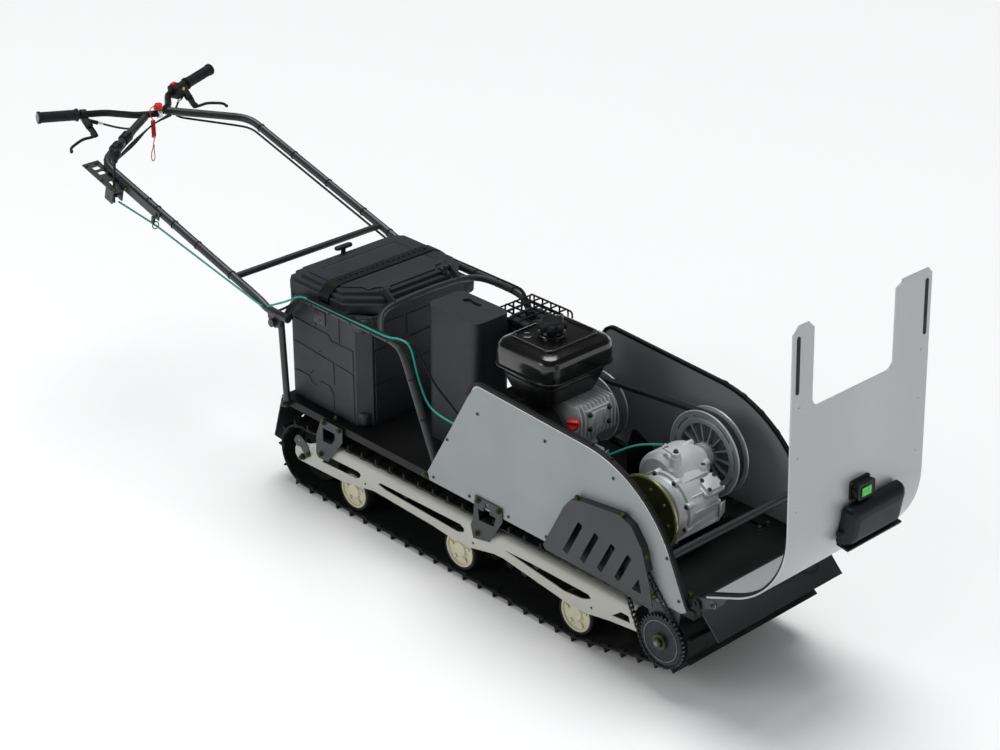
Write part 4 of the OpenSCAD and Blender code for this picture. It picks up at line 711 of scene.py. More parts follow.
def make_engine():
    """Crankcase with cover ribs and bosses, finned cylinder, head, feet and filler neck."""
    x, z = CRANK
    case = turned([(0, -78), (70, -78), (80, -74), (86, -66), (88, -56), (94, -54), (94, -46), (88, -44),
                   (88, 38), (94, 40), (94, 52), (89, 54), (86, 66), (74, 76), (40, 80), (34, 84), (31, 100),
                   (31, 117), (26, 117.4), (26, 112), (0, 112)], (x, 0, z), ACROSS, 72, 28)
    rib = block(loc(34, -2, 40), loc(88, 2, 74), 1.5, 1)
    pick(rib, facing(*UPRIGHT))
    bpy.ops.transform.resize(value=(0.45, 1, 1), center_override=(0.03, 0, 0))
    bpy.ops.object.mode_set(mode="OBJECT")
    stand = Matrix.Rotation(radians(-90), 4, "X")
    ribs = scattered(rib, [place @ stand for place in turns((x, 0, z), around(10, 0.3))])
    bosses, bolts_at = [], []
    for dx, dz in ring_of(8, 92, 0.2):
        bosses.append(drum((x + dx, 36, z + dz), (x + dx, 60, z + dz), 9, 1, 20))
        bolts_at.append(((x + dx, 60, z + dz), ACROSS))
    base = block((x - 100, -74, 324.4), (x + 105, 76, 384), 4, 2, corner=14,
                 sides=[(FORWARD, [(8, 0), (1.5, -4)]), ((0, -1, 0), [(8, 0), (1.5, -4)])])
    feet = [block((x - 118, y, 324.4), (x + 122, y + 30, 338), 2.5, 2, corner=8) for y in (-84, 64)]
    outline = [(x + 6, 470), (x + 140, 470), (x + 146, 478), (x + 146, 540), (x + 132, 566), (x + 6, 566)]
    steps = [Matrix.Translation((0, 14.2 * k * MM, 0)) for k in range(1, 10)]
    fins = moved(plate(outline, -66, -61.5, 1.1), *steps)
    head = block((x + 10, -60, 474), (x + 118, 64, 562), 4, 2, corner=10)
    cover = block((x + 104, -46, 490), (x + 142, 50, 552), 6, 3, corner=12,
                  sides=[(FORWARD, [(7, 0), (1.5, 3)])])
    root, mouth = Vector((185, -58, 482)), Vector((199, -78, 515))
    neck = drum(root, mouth, 12, 1, 28, tip=13)
    collar = drum((197.6, -76, 511.7), mouth, 15.5, 0.8, 28)
    bolts_at += [((x + 145, y, h), FORWARD) for y, h in ((-34, 500), (38, 500), (-34, 542), (38, 542))]
    parts = [case, ribs, *bosses, base, *feet, *fins, head, cover, neck, collar]
    fitted("crankcase", parts, "chassis", "cast", replaces=["engine_block"])
    screws("crankcase_bolts", bolts_at, 7, "hexagon", "chassis")
    way = (mouth - root).normalized()
    knob = turned([(0, 0), (9.6, 0), (10, 1.2), (10, 9.4), (17, 10.4), (17, 13), (15.2, 14), (15.2, 19.5),
                   (13.5, 22), (0, 22)], ORIGIN, UPRIGHT, 36)
    teeth = scattered(drum(loc(16, 0, 10.5), loc(16, 0, 20), 1.5, 0.4, 8),
                      [Matrix.Rotation(a, 4, "Z") for a in around(18)])
    wing = block(loc(-4, -16, 20.5), loc(4, 16, 33), 2, 3)
    stick = joined([knob, teeth, wing])
    top = mouth + 0.3 * way
    turn = Matrix.Rotation(atan2(way.y, way.x), 4, "Z") @ Matrix.Rotation(asin(hypot(way.x, way.y)), 4, "Y")
    fitted("oil_knob", set_in(stick, Matrix.Translation(at(*top)) @ turn), "chassis", "red",
           replaces=["dipstick"])


def make_shroud():
    """Blower housing with the recoil cover, its vanes and the cowl on top."""
    x, z = CRANK
    cowl = stacked(x - 72, x + 76, -120, 64, 566, 30, [(16, 7), (20, 8), (18, 6), (8, 2)], 2, 2)
    housing = turned([(75, -154), (84, -158), (108, -161.5), (114, -158), (116, -150), (116, -96), (112, -87),
                      (100, -86), (0, -86), (0, -140), (75, -140)], (x, 0, z), ACROSS, 72)
    cover = turned([(0, -172), (20, -172), (24, -170), (40, -170), (44, -171.5), (58, -171.5), (64, -166),
                    (64, -150), (0, -150)], (x, 0, z), ACROSS, 56)
    vane = block(loc(64, -157, -2), loc(104, -152, 2), 1, 1)
    vanes = scattered(vane, turns((x, 0, z), around(24)))
    side = block((x - 90, -150, 470), (x - 32, 60, 566), 4, 2, corner=12)
    fitted("blower_housing", [cowl, housing, cover, vanes, side], "chassis", "engine_black",
           replaces=["engine_shroud"])
    points = [((x + dx, -161.4, z + dz), (0, -1, 0)) for dx, dz in ring_of(4, 109, 0.8)]
    screws("blower_screws", points, 6, "hexagon", "chassis")


def make_tank():
    """Moulded fuel tank with round shoulders, a seam flange, a recessed frame and the ribbed cap."""
    x0, x1, y0, y1 = -40, 186, -158, 102
    low = stacked(x0 + 14, x1 - 14, y0 + 14, y1 - 14, 628.3, 40, [(12, 4), (12, -0.4)], 3, 3)
    seam = stacked(x0 - 4, x1 + 4, y0 - 4, y1 + 4, 650, 46, [(5, 0)], 1.6, 3)
    body = stacked(x0, x1, y0, y1, 653, 42,
                   [(42, 0), (14, -3), (10, -8), (6, -14), (2, -12), (3.5, -3)], 3, 3, 12)
    frame_top = stacked(x0 + 37, x1 - 37, y0 + 37, y1 - 37, 727, 18, [(8, 0), (0.4, -5), (-5, -2)], 1, 2)
    x, y = 64, -30
    neck = turned([(0, 728), (40, 728), (38, 733), (33, 735), (33, 743.5), (0, 743.5)], (x, y, 0),
                  UPRIGHT)
    disc = turned([(0, 728), (17, 728), (17, 731.4), (15.5, 732), (14, 731.2), (0, 731.2)], (30, -88, 0),
                  UPRIGHT, 40)
    fitted("tank_body", [low, seam, body, frame_top, neck, disc], "chassis", "tank",
           replaces=["fuel_tank"])
    z = 744.3
    cap = [turned([(0, z), (31, z), (33.5, z + 1.5), (34, z + 18), (30, z + 22), (28.5, z + 25.5),
                   (26, z + 26), (24.5, z + 23.5), (12, z + 22.6), (0, z + 22.6)], (x, y, 0), UPRIGHT, 64)]
    for dx, dy in ring_of(8, 31):
        cap.append(drum((x + dx, y + dy, z + 2), (x + dx, y + dy, z + 20), 10, 3, 28, steps=3))
    fitted("tank_cap", cap, "tank_cap", "plastic", replaces=["fuel_cap"])


def make_muffler():
    """Ribbed muffler body with a pipe stub, and its cage of bent wires on four feet."""
    body = stacked(-230, -116, 72, 188, 562, 32, [(10, 2), (62, 0), (10, -4), (4, -10)], 3, 3, 15)
    ribs = [stacked(-226 + 18 * k, -218 + 18 * k, 66, 194, 567, 3.9, [(70, 0), (6, -2)], 1.5, 2)
            for k in range(6)]
    belt = stacked(-233, -113, 69, 191, 603, 34, [(5, 0)], 1.4, 2)
    pipe_out = turned([(10, 640), (15, 640), (15, 657), (16.5, 658), (16.5, 660), (11, 660)], (-170, 120, 0),
                      UPRIGHT, 32)
    link = block((-120, 96, 562), (-26, 138, 602), 4, 2, corner=8)
    fitted("muffler_body", [body, *ribs, belt, pipe_out, link], "chassis", "muffler",
           replaces=["muffler"])
    x0, x1, y0, y1, low, top = -262, -92, 44, 204, 610, 664
    bent = []
    for k in range(6):
        y = y0 + k * (y1 - y0) / 5
        bent.append(([(x0, y, low), (x0, y, top), (x1, y, top), (x1, y, low)], 5.6))
    for k in range(5):
        x = x0 + 17 + 34 * k
        bent.append(([(x, y0, low), (x, y0, top + 5), (x, y1, top + 5), (x, y1, low)], 5.2))
    for z, g in ((612, 0), (638, 0.5)):
        bent.append(([(x0 - g, y0 - g + 30, z), (x0 - g, y0 - g, z), (x1 + g, y0 - g, z), (x1 + g, y1 + g, z),
                      (x0 - g, y1 + g, z), (x0 - g, y0 - g + 31, z)], 6.2))
    wires = [pipe(route(points, 12), thick, sides=3) for points, thick in bent]
    for x in (x0, x1):
        for y in (y0, y1):
            wires.append(drum((x, y, DECK), (x, y, 612), 4, 0.6, 20))
            wires.append(drum((x, y, DECK), (x, y, 293), 13, 0.8, 24))
    fitted("muffler_cage", wires, "chassis", "coat_dark", replaces=["muffler_guard"])


def make_gearbox():
    """Cast gearbox: bell with a lugged flange, ribs, the shift boss, the pulley-side case and their bolts."""
    x, z = OUTPUT
    dx, dz = DRIVEN[0] + 6, DRIVEN[1] - 6
    bell = turned([(13, -133), (30, -133), (46, -131), (47, -120), (56, -117), (76, -108), (84, -96),
                   (85, -86), (92, -84.5), (93.5, -83), (93.5, -75), (92, -73.5), (85, -72), (82, -20),
                   (76, 34), (66, 52), (40, 60), (13, 60)], (x, 0, z), ACROSS, 72, 24)
    case = turned([(0, -60), (60, -60), (72, -52), (74.5, -40), (74.5, 40), (70, 58), (52, 72), (48, 76),
                   (47, 91), (40, 92), (18, 92), (18, 86), (0, 86)], (dx, 0, dz), ACROSS, 64, 24)
    rib = block(loc(-2.2, -70, 70), loc(2.2, 44, 86.5), 1.6, 1, taper=0.8)
    ribs = scattered(rib, turns((x, 0, z), [radians(a) for a in range(-150, 200, 30)]))
    parts, bolts_at = [bell, case, ribs], []
    for bx, bz in ring_of(8, 88, 0.35):
        parts.append(drum((x + bx, -90, z + bz), (x + bx, -68, z + bz), 9.5, 1.2, 24))
        bolts_at.append(((x + bx, -90, z + bz), (0, -1, 0)))
    for bx, bz in ring_of(6, 66, 0.5):
        parts.append(drum((dx + bx, 30, dz + bz), (dx + bx, 68, dz + bz), 9, 1.2, 20))
        bolts_at.append(((dx + bx, 68, dz + bz), ACROSS))
    parts.append(block((452, -104, 325.4), (580, 96, 384), 4, 2, corner=12,
                       sides=[(FORWARD, [(8, 0), (2, -4)]), ((0, -1, 0), [(8, 0), (2, -4)])]))
    parts.append(turned([(0, 488), (24, 488), (22, 500), (21, 517), (17, 522), (15, 526), (15, 551),
                         (13.5, 552), (7.3, 552), (7.3, 545), (0, 545)], (*SELECTOR, 0), UPRIGHT, 40))
    tilt = radians(30)
    turn = Matrix.Translation(at(570, -20, 470)) @ Matrix.Rotation(tilt, 4, "Y")
    parts.append(set_in(block(loc(0, 0, 0), loc(56, 74, 17), 3, 2, corner=10), turn))
    parts.append(set_in(block(loc(7, 8, 16), loc(49, 66, 25.5), 3, 2, corner=8), turn))
    for u, v in ((12, 14), (44, 14), (12, 60), (44, 60)):
        bolts_at.append((point_of(turn, u, v, 25.5), (sin(tilt), 0, cos(tilt))))
    for px, py in ((500, 20), (500, -46), (560, 34)):
        top = z + sqrt(82 ** 2 - (px - x) ** 2)
        parts.append(drum((px, py, top - 16), (px, py, top + 6), 10, 1.5, 24, tip=8.5))
        bolts_at.append(((px, py, top + 6), UPRIGHT))
    fitted("gear_case", parts, "chassis", "cast", replaces=["gearbox"])
    screws("gear_case_bolts", bolts_at, 6.4, "button", "chassis")
    boss = turned([(0, 0.8), (12, 0.8), (13, 1.6), (13, 10.6), (12, 11.6), (0, 11.6)], (*SELECTOR, 552),
                  UPRIGHT, 32)
    blade = block(loc(0, -8, 2), loc(46, 8, 8), 1.4, 2)
    eye = drum(loc(46, 0, 2), loc(46, 0, 8), 9, 1.2, 28)
    stud = drum(loc(46, 0, 2), loc(46, 0, 15), 3.5, 0.6, 6)
    nut = drum(loc(46, 0, 8), loc(46, 0, 12), 6, 0.6, 6)
    swing = Matrix.Translation(at(*SELECTOR, 552)) @ Matrix.Rotation(radians(168), 4, "Z")
    fitted("shift_arm", [boss, set_in(joined([blade, eye, stud, nut]), swing)], "selector", "cast",
           replaces=["selector_arm"])
    screws("shift_arm_bolt", [((*SELECTOR, 563.6), UPRIGHT)], 7, "hexagon", "selector")


def make_brake():
    """Bright rim and hub bolts of the brake disc."""
    x, z = OUTPUT
    rim = [turned([(102.5, y), (108.2, y), (108.6, y + 0.5), (102.5, y + 0.5)], (x, 0, z), ACROSS, 96)
           for y in (-152.5, -146.0)]
    edge = turned([(107.8, -152), (108.8, -152), (108.8, -146), (107.8, -146)], (x, 0, z), ACROSS, 96)
    fitted("disc_rim", rim + [edge], "output", "disc_rim")
    points = [((x + bx, -168, z + bz), (0, -1, 0)) for bx, bz in ring_of(5, 22)]
    screws("disc_bolts", points, 6, "hexagon", "output")


def pulley_rims(centre, radius, sides):
    """Two bright rings at the rims of a belt pulley."""
    x, z = centre
    return [painted(turned([(radius - 3, y), (radius - 0.1, y + 0.6), (radius, y + 2.0),
                            (radius - 3, y + 1.6)], (x, 0, z), ACROSS, sides), "bright_metal_and_highlight")
            for y in (126.6, 163.2)]


def make_pulleys():
    """Belt pulleys with grooved rims, ribs, slotted faces, the driven one's cam and spring."""
    x, z = DRIVEN
    profile = [(13, 127.4), (33, 127.4), (34, 139), (84, 139), (86, 127.6), (88, 127), (99, 127),
               (99.6, 128.4), (118, 128.4), (120, 127), (122, 128.6), (121.6, 131.2), (97, 139), (97, 153),
               (121.6, 160.8), (122, 163), (120, 165), (60, 165), (58, 160), (13, 160)]
    web = turned(profile, (x, 0, z), ACROSS, 112, 25)
    slots, face = [], Matrix.Translation(at(x, 128, z)) @ turn_to(ACROSS)
    for k in range(8):
        bpy.ops.mesh.primitive_plane_add(size=1, location=(0, 0, 0))
        piece = bpy.context.object
        for vertex, (radius, along) in zip(piece.data.vertices, ((102, -5), (107, -5), (102, 5), (107, 5))):
            vertex.co = (radius * MM, 0, along * MM)
        bpy.ops.object.mode_set(mode="EDIT")
        bpy.ops.mesh.select_all(action="SELECT")
        bpy.ops.mesh.spin(steps=10, angle=radians(33), center=(0, 0, 0), axis=UPRIGHT)
        faced_out()
        slots.append(set_in(piece, face @ Matrix.Rotation(radians(45 * k + 8), 4, "Z")))
    web = painted(cut(web, slots), "pulley")
    rib = block(loc(33, -11, -1.9), loc(86, 0, 1.9), 0.8, 1)
    ribs = painted(scattered(rib, turns((x, 139.5, z), around(14))), "pulley")
    # thin darker disc on the recess floor between the ribs: painted shade, in a darker grey than the pulley
    gap_shade_disc = painted(turned([(34.5, 138.3), (84, 138.3), (84, 138.9), (34.5, 138.9)], (x, 0, z), ACROSS, 64),
                   "groove")
    rims = pulley_rims(DRIVEN, 122.4, 112)
    hub = painted(turned([(15.4, 84), (19, 84), (19.5, 105), (27, 105.4), (27, 113), (33, 114), (33, 131),
                          (15.4, 131)], (x, 0, z)), "cast")
    ramp = block(loc(19, -12, -6), loc(31, 12, 6), 1.5, 2, taper=0.7)
    ramps = painted(scattered(ramp, turns((x, 103, z), around(3, 0.4))), "cast")
    coil = [(x + 24 * cos(2 * pi * k / 14), 94 + 18 * k / 70, z + 24 * sin(2 * pi * k / 14))
            for k in range(71)]
    spring = painted(pipe(coil, 3.2, sides=2), "dark_steel")
    shaft = painted(turned([(0, 84), (15, 84), (15, 166), (13.5, 168), (0, 168)], (x, 0, z), ACROSS, 32),
                    "dark_steel")
    parts = [web, ribs, gap_shade_disc, *rims, hub, ramps, spring, shaft]
    fitted("driven_sheave", parts, "clutch_driven", replaces=["driven_pulley"])
    x, z = CRANK
    profile = [(14, 120), (32, 120), (32, 134), (60, 134), (61, 127.4), (63, 127), (96, 127), (98, 128.6),
               (97.6, 131), (72, 139), (72, 153), (97.6, 161), (98, 163), (96, 165), (63, 165), (61, 164.6),
               (60, 158), (32, 158), (32, 172), (14, 172)]
    sheave = painted(turned(profile, (x, 0, z), ACROSS, 96, 25), "pulley")
    rims = pulley_rims(CRANK, 98.4, 96)
    weight = block(loc(36, -7, -7), loc(54, 6, 7), 2, 2)
    weights = painted(scattered(weight, turns((x, 160, z), around(6))), "cast")
    nut = painted(drum((x, 172, z), (x, 182, z), 15, 1, 6), "zinc")
    shaft = painted(turned([(0, 118), (12.4, 118), (12.4, 182), (11, 184), (0, 184)], (x, 0, z), ACROSS, 28),
                    "dark_steel")
    fitted("drive_sheave", [sheave, *rims, weights, nut, shaft], "clutch_drive",
           replaces=["drive_pulley"])


def make_sprocket():
    """Washer, nut, shaft end and bright ring of the chain wheel."""
    x, z = AXLE
    washer = turned([(13, -273), (21, -273), (21.6, -272.4), (21.6, -269.4), (13, -269.4)], (x, 0, z),
                    ACROSS, 40)
    nut = drum((x, -281, z), (x, -273, z), 13.5, 1, 6)
    tip = turned([(0, -285), (6, -285), (7.5, -283.5), (7.5, -278), (0, -278)], (x, 0, z), ACROSS, 24)
    ring = turned([(56, -266.6), (58, -266.6), (58, -265), (56, -265)], (x, 0, z), ACROSS, 64)
    parts = [painted(piece, material) for piece, material in
             ((washer, "zinc"), (nut, "zinc"), (tip, "steel"), (ring, "steel"))]
    fitted("chain_wheel_nut", parts, "drive_axle")


PANEL_SCREWS = [(-166, 284), (-20, 284), (134, 284), (278, 284), (-108, 424), (14, 548), (270, 566),
                (516, 556), (707, 405), (752, 300)]
PANEL_FACE = 254.5
SIDE_BOLTS = [(-636, 258.9, 275), (-568, 258.9, 275), (-656, 258.9, 165), (18, 258.9, 288),
              (100, 258.9, 288), (14, 258.9, 184), (-753.146, 253.3, 114), (-724, 250.9, 134),
              (-800, 272.3, 280), (-204, 251.3, 277)]
DECK_BOLTS = [(-612, -232), (513, 140), (540, 146), (505, 236), (740, 200), (740, -200), (640, 214),
              (640, 180)]
# place in x and z of each bolt on the rim of the chain guard, and the way in which it looks
GUARD_BOLTS = [(404, 455.5, -0.26, 0.97), (566, 476, 0.33, 0.94), (648, 392, 0.94, 0.33),
               (679, 290, 0.97, 0.2)]


def make_screws():
    """The screws of the side panels and the bolts of the frame, in their places on the CAD part."""
    panel = [((x, side * PANEL_FACE, z), (0, side, 0)) for x, z in PANEL_SCREWS for side in (-1, 1)]
    screws("panel_screws", panel, sizes().screw, "button", "chassis")
    points = [((x, side * y, z), (0, side, 0)) for side in (-1, 1) for x, y, z in SIDE_BOLTS]
    points += [((x, y, DECK), UPRIGHT) for x, y in DECK_BOLTS]
    points += [((x, -268, z), (ux, 0, uz)) for x, z, ux, uz in GUARD_BOLTS]
    screws("frame_bolts", points, 8.5, "hexagon", "chassis", replaces=["bolts"])


def panel_arc(inset):
    """Line in x and z along the top of the side panel, at a distance inside its edge."""
    steps = 40
    centre, radius, slope, front = Vector((397, 258.6)), 365 - inset, radians(-3), radians(-64.6)
    corner, small, rear = Vector((24.5, 598.6)), 45 - inset, radians(59.8)
    out = [corner + small * ray(rear + pi / 2 + (slope - rear) * k / 8) for k in range(9)]
    return out + [centre + radius * ray(slope + pi / 2 + (front - slope) * k / steps)
                  for k in range(steps + 1)]


def make_panels():
    """Pale strips along the top edges of the side panels that are a painted highlight, the clips of the rubber
    trims, and a dark sheet behind the guard's slots that is painted shade.
    """
    # pale strip along each side panel's top edge: a painted highlight where the cut edge catches the light
    highlight_strip = pipe([(p.x, -254.6, p.y) for p in panel_arc(13)], sizes().painted_highlight_width, sides=2)
    fitted("panel_edges", mirrored(highlight_strip), "chassis", "bright_metal_and_highlight")
    parts, line = [], panel_arc(2)
    for p, q in zip(line[11::7], line[12::7]):
        way = q - p
        parts += mirrored(turned([(5.2, -7), (6.3, -6), (6.3, 6), (5.2, 7)], (p.x, -253, p.y),
                                 (way.x, 0, way.y), 20))
    fitted("trim_clips", parts, "chassis", "trim")
    # near-black sheet behind the chain guard's slots: painted shade inside the guard, in front of the grey
    # panel
    back = plate([(310, 264), (380, 412), (399, 438), (431, 447), (557, 462), (595, 448), (628, 407),
                  (650, 262)], -256.8, -255.2, 0.3)
    back = cut(back, [drum((536, -262, 420), (536, -250, 420), 24, 0, 48)])
    fitted("guard_back", back, "chassis", "coat_dark")


def box_side(side):
    """Raised panels of one long side of the cargo box."""
    face = side * 213.8
    rows = [
        [(-816, 300), (-640, 300), (-640, 352), (-660, 372), (-700, 372), (-716, 352), (-736, 352),
         (-752, 372), (-816, 372)],
        [(-816, 378), (-746, 378), (-728, 398), (-700, 398), (-690, 378), (-636, 378), (-636, 452),
         (-816, 466)],
        [(-630, 300), (-548, 300), (-548, 446), (-630, 452)],
        [(-816, 472), (-700, 463), (-690, 476), (-620, 476), (-612, 456), (-548, 452), (-548, 520),
         (-640, 520), (-656, 536), (-816, 540)],
        [(-816, 546), (-712, 544), (-712, 606), (-816, 612)],
        [(-706, 544), (-654, 542), (-640, 526), (-606, 526), (-606, 612), (-706, 606)]]
    return [plate(row, face, face + side * RELIEF, 1.2, 1) for row in rows]


def box_end(x, lift):
    """Raised panels of one short side of the cargo box."""
    rows = [
        [(-172, 300), (-20, 300), (-20, 380), (-60, 412), (-172, 412)],
        [(172, 300), (-8, 300), (-8, 380), (-50, 420), (-20, 452), (172, 452)],
        [(-172, 420), (-64, 420), (-28, 460), (172, 460), (172, 540), (-172, 520)],
        [(-172, 528), (-60, 534), (-60, 600), (-172, 600)],
        [(172, 548), (-48, 536), (-48, 600), (172, 600)]]
    place = Matrix.Translation(at(x, 0, 0)) @ Matrix.Rotation(radians(90), 4, "Z") @ MIRROR
    return [set_in(plate(origin_outline(row), 0, lift, 1.2, 1), place) for row in rows]


# height of the raised panels of the cargo box
RELIEF = 2.6


def make_box():
    """Cargo box: raised panels on every side, corner caps and latch plates."""
    parts = box_side(-1) + box_side(1) + box_end(-504.2, RELIEF) + box_end(-835.8, -RELIEF)
    caps = [stacked(-566, -508, -213, -172, 586, 12, [(6, 5), (26, 1), (8, -8)], 2, 2, 25),
            stacked(-552, -512, -208, -178, 288.4, 12, [(8, 4), (26, 0), (6, -4)], 2, 2, 25)]
    for piece in caps:
        parts += mirrored(piece)
    fitted("box_mouldings", parts, "chassis", "box")
    latch = [block((-712, -219.6, 560), (-664, -216.4, 600), 1.2, 2)]
    latch += [turned([(3, -220.8), (5.4, -220.8), (5.4, -219), (3, -219)], (x, 0, z), ACROSS, 20)
              for x, z in ((-702, 592), (-674, 592), (-688, 571))]
    parts = []
    for piece in latch:
        parts += mirrored(piece)
    fitted("box_latch_plates", parts, "chassis", "coat")


def make_lid():
    """Lid mouldings, the oval turn handle and the rubber strap with its row of slots."""
    steps = [(3, 0), (0.8, -1), (0, -8), (-0.9, -1.5)]
    parts = [stacked(x0, x1, -139, 139, 681, 6, steps, 0.6, 2, 20) for x0, x1 in ((-769, -679), (-643, -561))]
    for y in (-1, 1):
        y0, y1 = sorted((y * 196, y * 219.6))
        for x0, x1 in ((-800, -716), (-622, -572)):
            parts.append(stacked(x0, x1, y0, y1, 632, 8, [(16, 0), (6, -3)], 1.5, 2, 20))
    parts.append(stacked(-506, -500.4, -96, 96, 633, 2.5, [(18, 0)], 1, 1, 20))
    fitted("lid_mouldings", parts, "lid", "box")
    x, y = -810, -24
    knob = [stacked(x - 8.5, x + 8.5, y - 29, y + 31, 699.5, 8.4, [(4, 1.5), (4, -1), (2.5, -5)], 1.2, 2, 20),
            turned([(0, 676), (11, 676), (8, 682), (7.2, 688), (7.2, 702), (0, 702)], (x, y, 0), UPRIGHT, 28)]
    fitted("lid_turn_handle", knob, "lid", "plastic")
    over_lid = route([(a, 0, b) for a, b in [(-225, 632), (-225, 660), (-196, 684), (-176, 689), (176, 689),
                                             (196, 684), (225, 660), (225, 632)]], 8, 3)
    outer = [(p.x, p.z) for p in over_lid]
    inner = [(p.x * 0.985, p.z - 3.2 if abs(p.x) < 200 else p.z) for p in reversed(over_lid)]
    strap = plate(origin_outline(outer + inner), -22, 22, 0.6, 1)
    strap.data.transform(Matrix.Translation(at(-661, 0, 0)) @ Matrix.Rotation(radians(90), 4, "Z"))
    holes = [block((-664, y - 5, 680), (-658, y + 5, 695), 1, 1) for y in range(-160, 170, 20)]
    fitted("lid_strap", cut(strap, holes), "lid", "trim", replaces=["box_strap"])


def make_camera():
    """Camera at the photograph's place."""
    deselect()
    azimuth, elevation, roll = radians(46.714), radians(26.576), radians(-0.03)
    back = Vector((sin(azimuth) * cos(elevation), -cos(azimuth) * cos(elevation), sin(elevation)))
    turn = (-back).to_track_quat("-Z", "Y").to_matrix().to_4x4() @ Matrix.Rotation(roll, 4, "Z")
    bpy.ops.object.camera_add(location=(4.4652, -3.9848, 3.4172), rotation=turn.to_euler())
    camera = bpy.context.object
    camera.name = "Studio camera"
    camera.data.lens = 84.17
    camera.data.sensor_width = 36
    camera.data.clip_end = 60
    bpy.context.scene.camera = camera


def make_tether():
    """Curled red cord from the clip on the handlebar, down in one narrow loop and back up to its own curl."""
    x, top, radius, pitch, curls, steps = -1722, 850, 6, 3.7, 15, 16
    low = top - curls * pitch
    start = route([(x - 6.6, -11.1, 884), (x, -24, 897), (x, -44, 888), (x, -40, 862),
                   (x + radius, -33, top)], 12)
    curl = [Vector((x + radius * cos(2 * pi * k / steps), -33 + radius * sin(2 * pi * k / steps),
                    top - pitch * k / steps)) for k in range(1, curls * steps)]
    end = route([(x + radius, -33, low), (x + 2, -36, low - 10), (x, -38, 764), (x, -47, 744), (x, -48, 722),
                 (x, -42, 715), (x, -35, 722), (x, -35.5, 744), (x + 3.6, -38.5, 768)], 8, 4)
    points = start + curl + end
    cord = painted(wire(points, 3.0, sides=3), "red_cord")
    cord.name = "tether"
    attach(cord, "handle")
    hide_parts("tether_cord")
    knot = turned([(0, -3), (2.2, -2.6), (3.1, -1), (2.6, 0), (3.1, 1), (2.2, 2.6), (0, 3)], end[-1],
                  (0.5, -0.4, 1), 20)
    knot = fitted("tether_knot", knot, "handle", "red_cord")


def make_finishes():
    """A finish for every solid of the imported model."""
    for key, names in NODE_FINISH.items():
        for name in names.split():
            solid = NODES[name]
            if not solid.material_slots:
                solid.data.materials.append(finish(key))
            for slot in solid.material_slots:
                slot.link = "OBJECT"
                slot.material = finish(key)


# body and CAD solid of each row of road wheels, and its place in x
WHEELS = [("wheels_rear", "bogie_rear", -534), ("wheels_mid", "bogie_mid", -79),
          ("wheels_front", "bogie_front", 376)]
WHEEL_Z, WHEEL_R = 84, 63.7
IDLER, LAST_WHEEL, DRIVE = Vector((-753.146, 114)), Vector((376, WHEEL_Z)), Vector(AXLE)
IDLER_R, WHEEL_RUN, SPROCKET_R = 97.0, 67.0, 77.668
UP, RISE = radians(1.24396), radians(12.02697)
LUGS, LUG_PITCH = 57, 61.0


def belt_pose(s):
    """Place in x and z on the middle of the belt at a distance along it, and the outward angle there."""
    top = (DRIVE - IDLER + (SPROCKET_R - IDLER_R) * ray(UP + pi / 2)).length
    slope = (DRIVE - LAST_WHEEL + (SPROCKET_R - WHEEL_RUN) * ray(RISE - pi / 2)).length
    ends = [top, SPROCKET_R * (pi + UP - RISE), slope, WHEEL_RUN * RISE, LAST_WHEEL.x - IDLER.x]
    if s < ends[0]:
        return IDLER + IDLER_R * ray(UP + pi / 2) + s * ray(UP), UP + pi / 2
    s -= ends[0]
    if s < ends[1]:
        return DRIVE + SPROCKET_R * ray(UP + pi / 2 - s / SPROCKET_R), UP + pi / 2 - s / SPROCKET_R
    s -= ends[1]
    if s < ends[2]:
        return DRIVE + SPROCKET_R * ray(RISE - pi / 2) - s * ray(RISE), RISE - pi / 2
    s -= ends[2]
    if s < ends[3]:
        return LAST_WHEEL + WHEEL_RUN * ray(RISE - pi / 2 - s / WHEEL_RUN), RISE - pi / 2 - s / WHEEL_RUN
    s -= ends[3]
    if s < ends[4]:
        return Vector((LAST_WHEEL.x - s, LAST_WHEEL.y - WHEEL_RUN)), -pi / 2
    s -= ends[4]
    return IDLER + IDLER_R * ray(-pi / 2 - s / IDLER_R), -pi / 2 - s / IDLER_R


def belt_place(s, y):
    """Place that lays a template on the belt: its x along the belt, its z outwards."""
    point, angle = belt_pose(s)
    return Matrix.Translation(at(point.x, y, point.y)) @ Matrix.Rotation(pi / 2 - angle, 4, "Y")


def make_track():
    """Blocks of the moulded track: caps on the lugs, guide teeth inside the belt and cleats at its edges."""
    def along_belt(*rows):
        return [belt_place((k + 0.5) * LUG_PITCH, y) for k in range(LUGS) for y in rows]

    length, width = sizes().pad_thick / 2 - 1, sizes().pad_width / 2
    pad = block(loc(-length, -width, 2.4), loc(length, width, 15.4), 1.5, 1, taper=0.62,
                sides=[(UPRIGHT, [(1.6, -1.2)])])
    fitted("lug_caps", scattered(pad, along_belt(-219, -122, 0, 122, 219)), "chassis", "rubber")
    tooth = block(loc(-11, -7, -20), loc(11, 7, -2.4), 1.5, 1)
    pick(tooth, facing(0, 0, -1))
    bpy.ops.transform.resize(value=(0.6, 0.7, 1))
    bpy.ops.object.mode_set(mode="OBJECT")
    fitted("guide_teeth", scattered(tooth, along_belt(-128, 128)), "chassis", "guide")
    cleat = block(loc(-12, -4, -7), loc(12, 4, -2.6), 1, 1)
    fitted("belt_cleats", scattered(cleat, along_belt(-245, 245)), "chassis", "rubber")


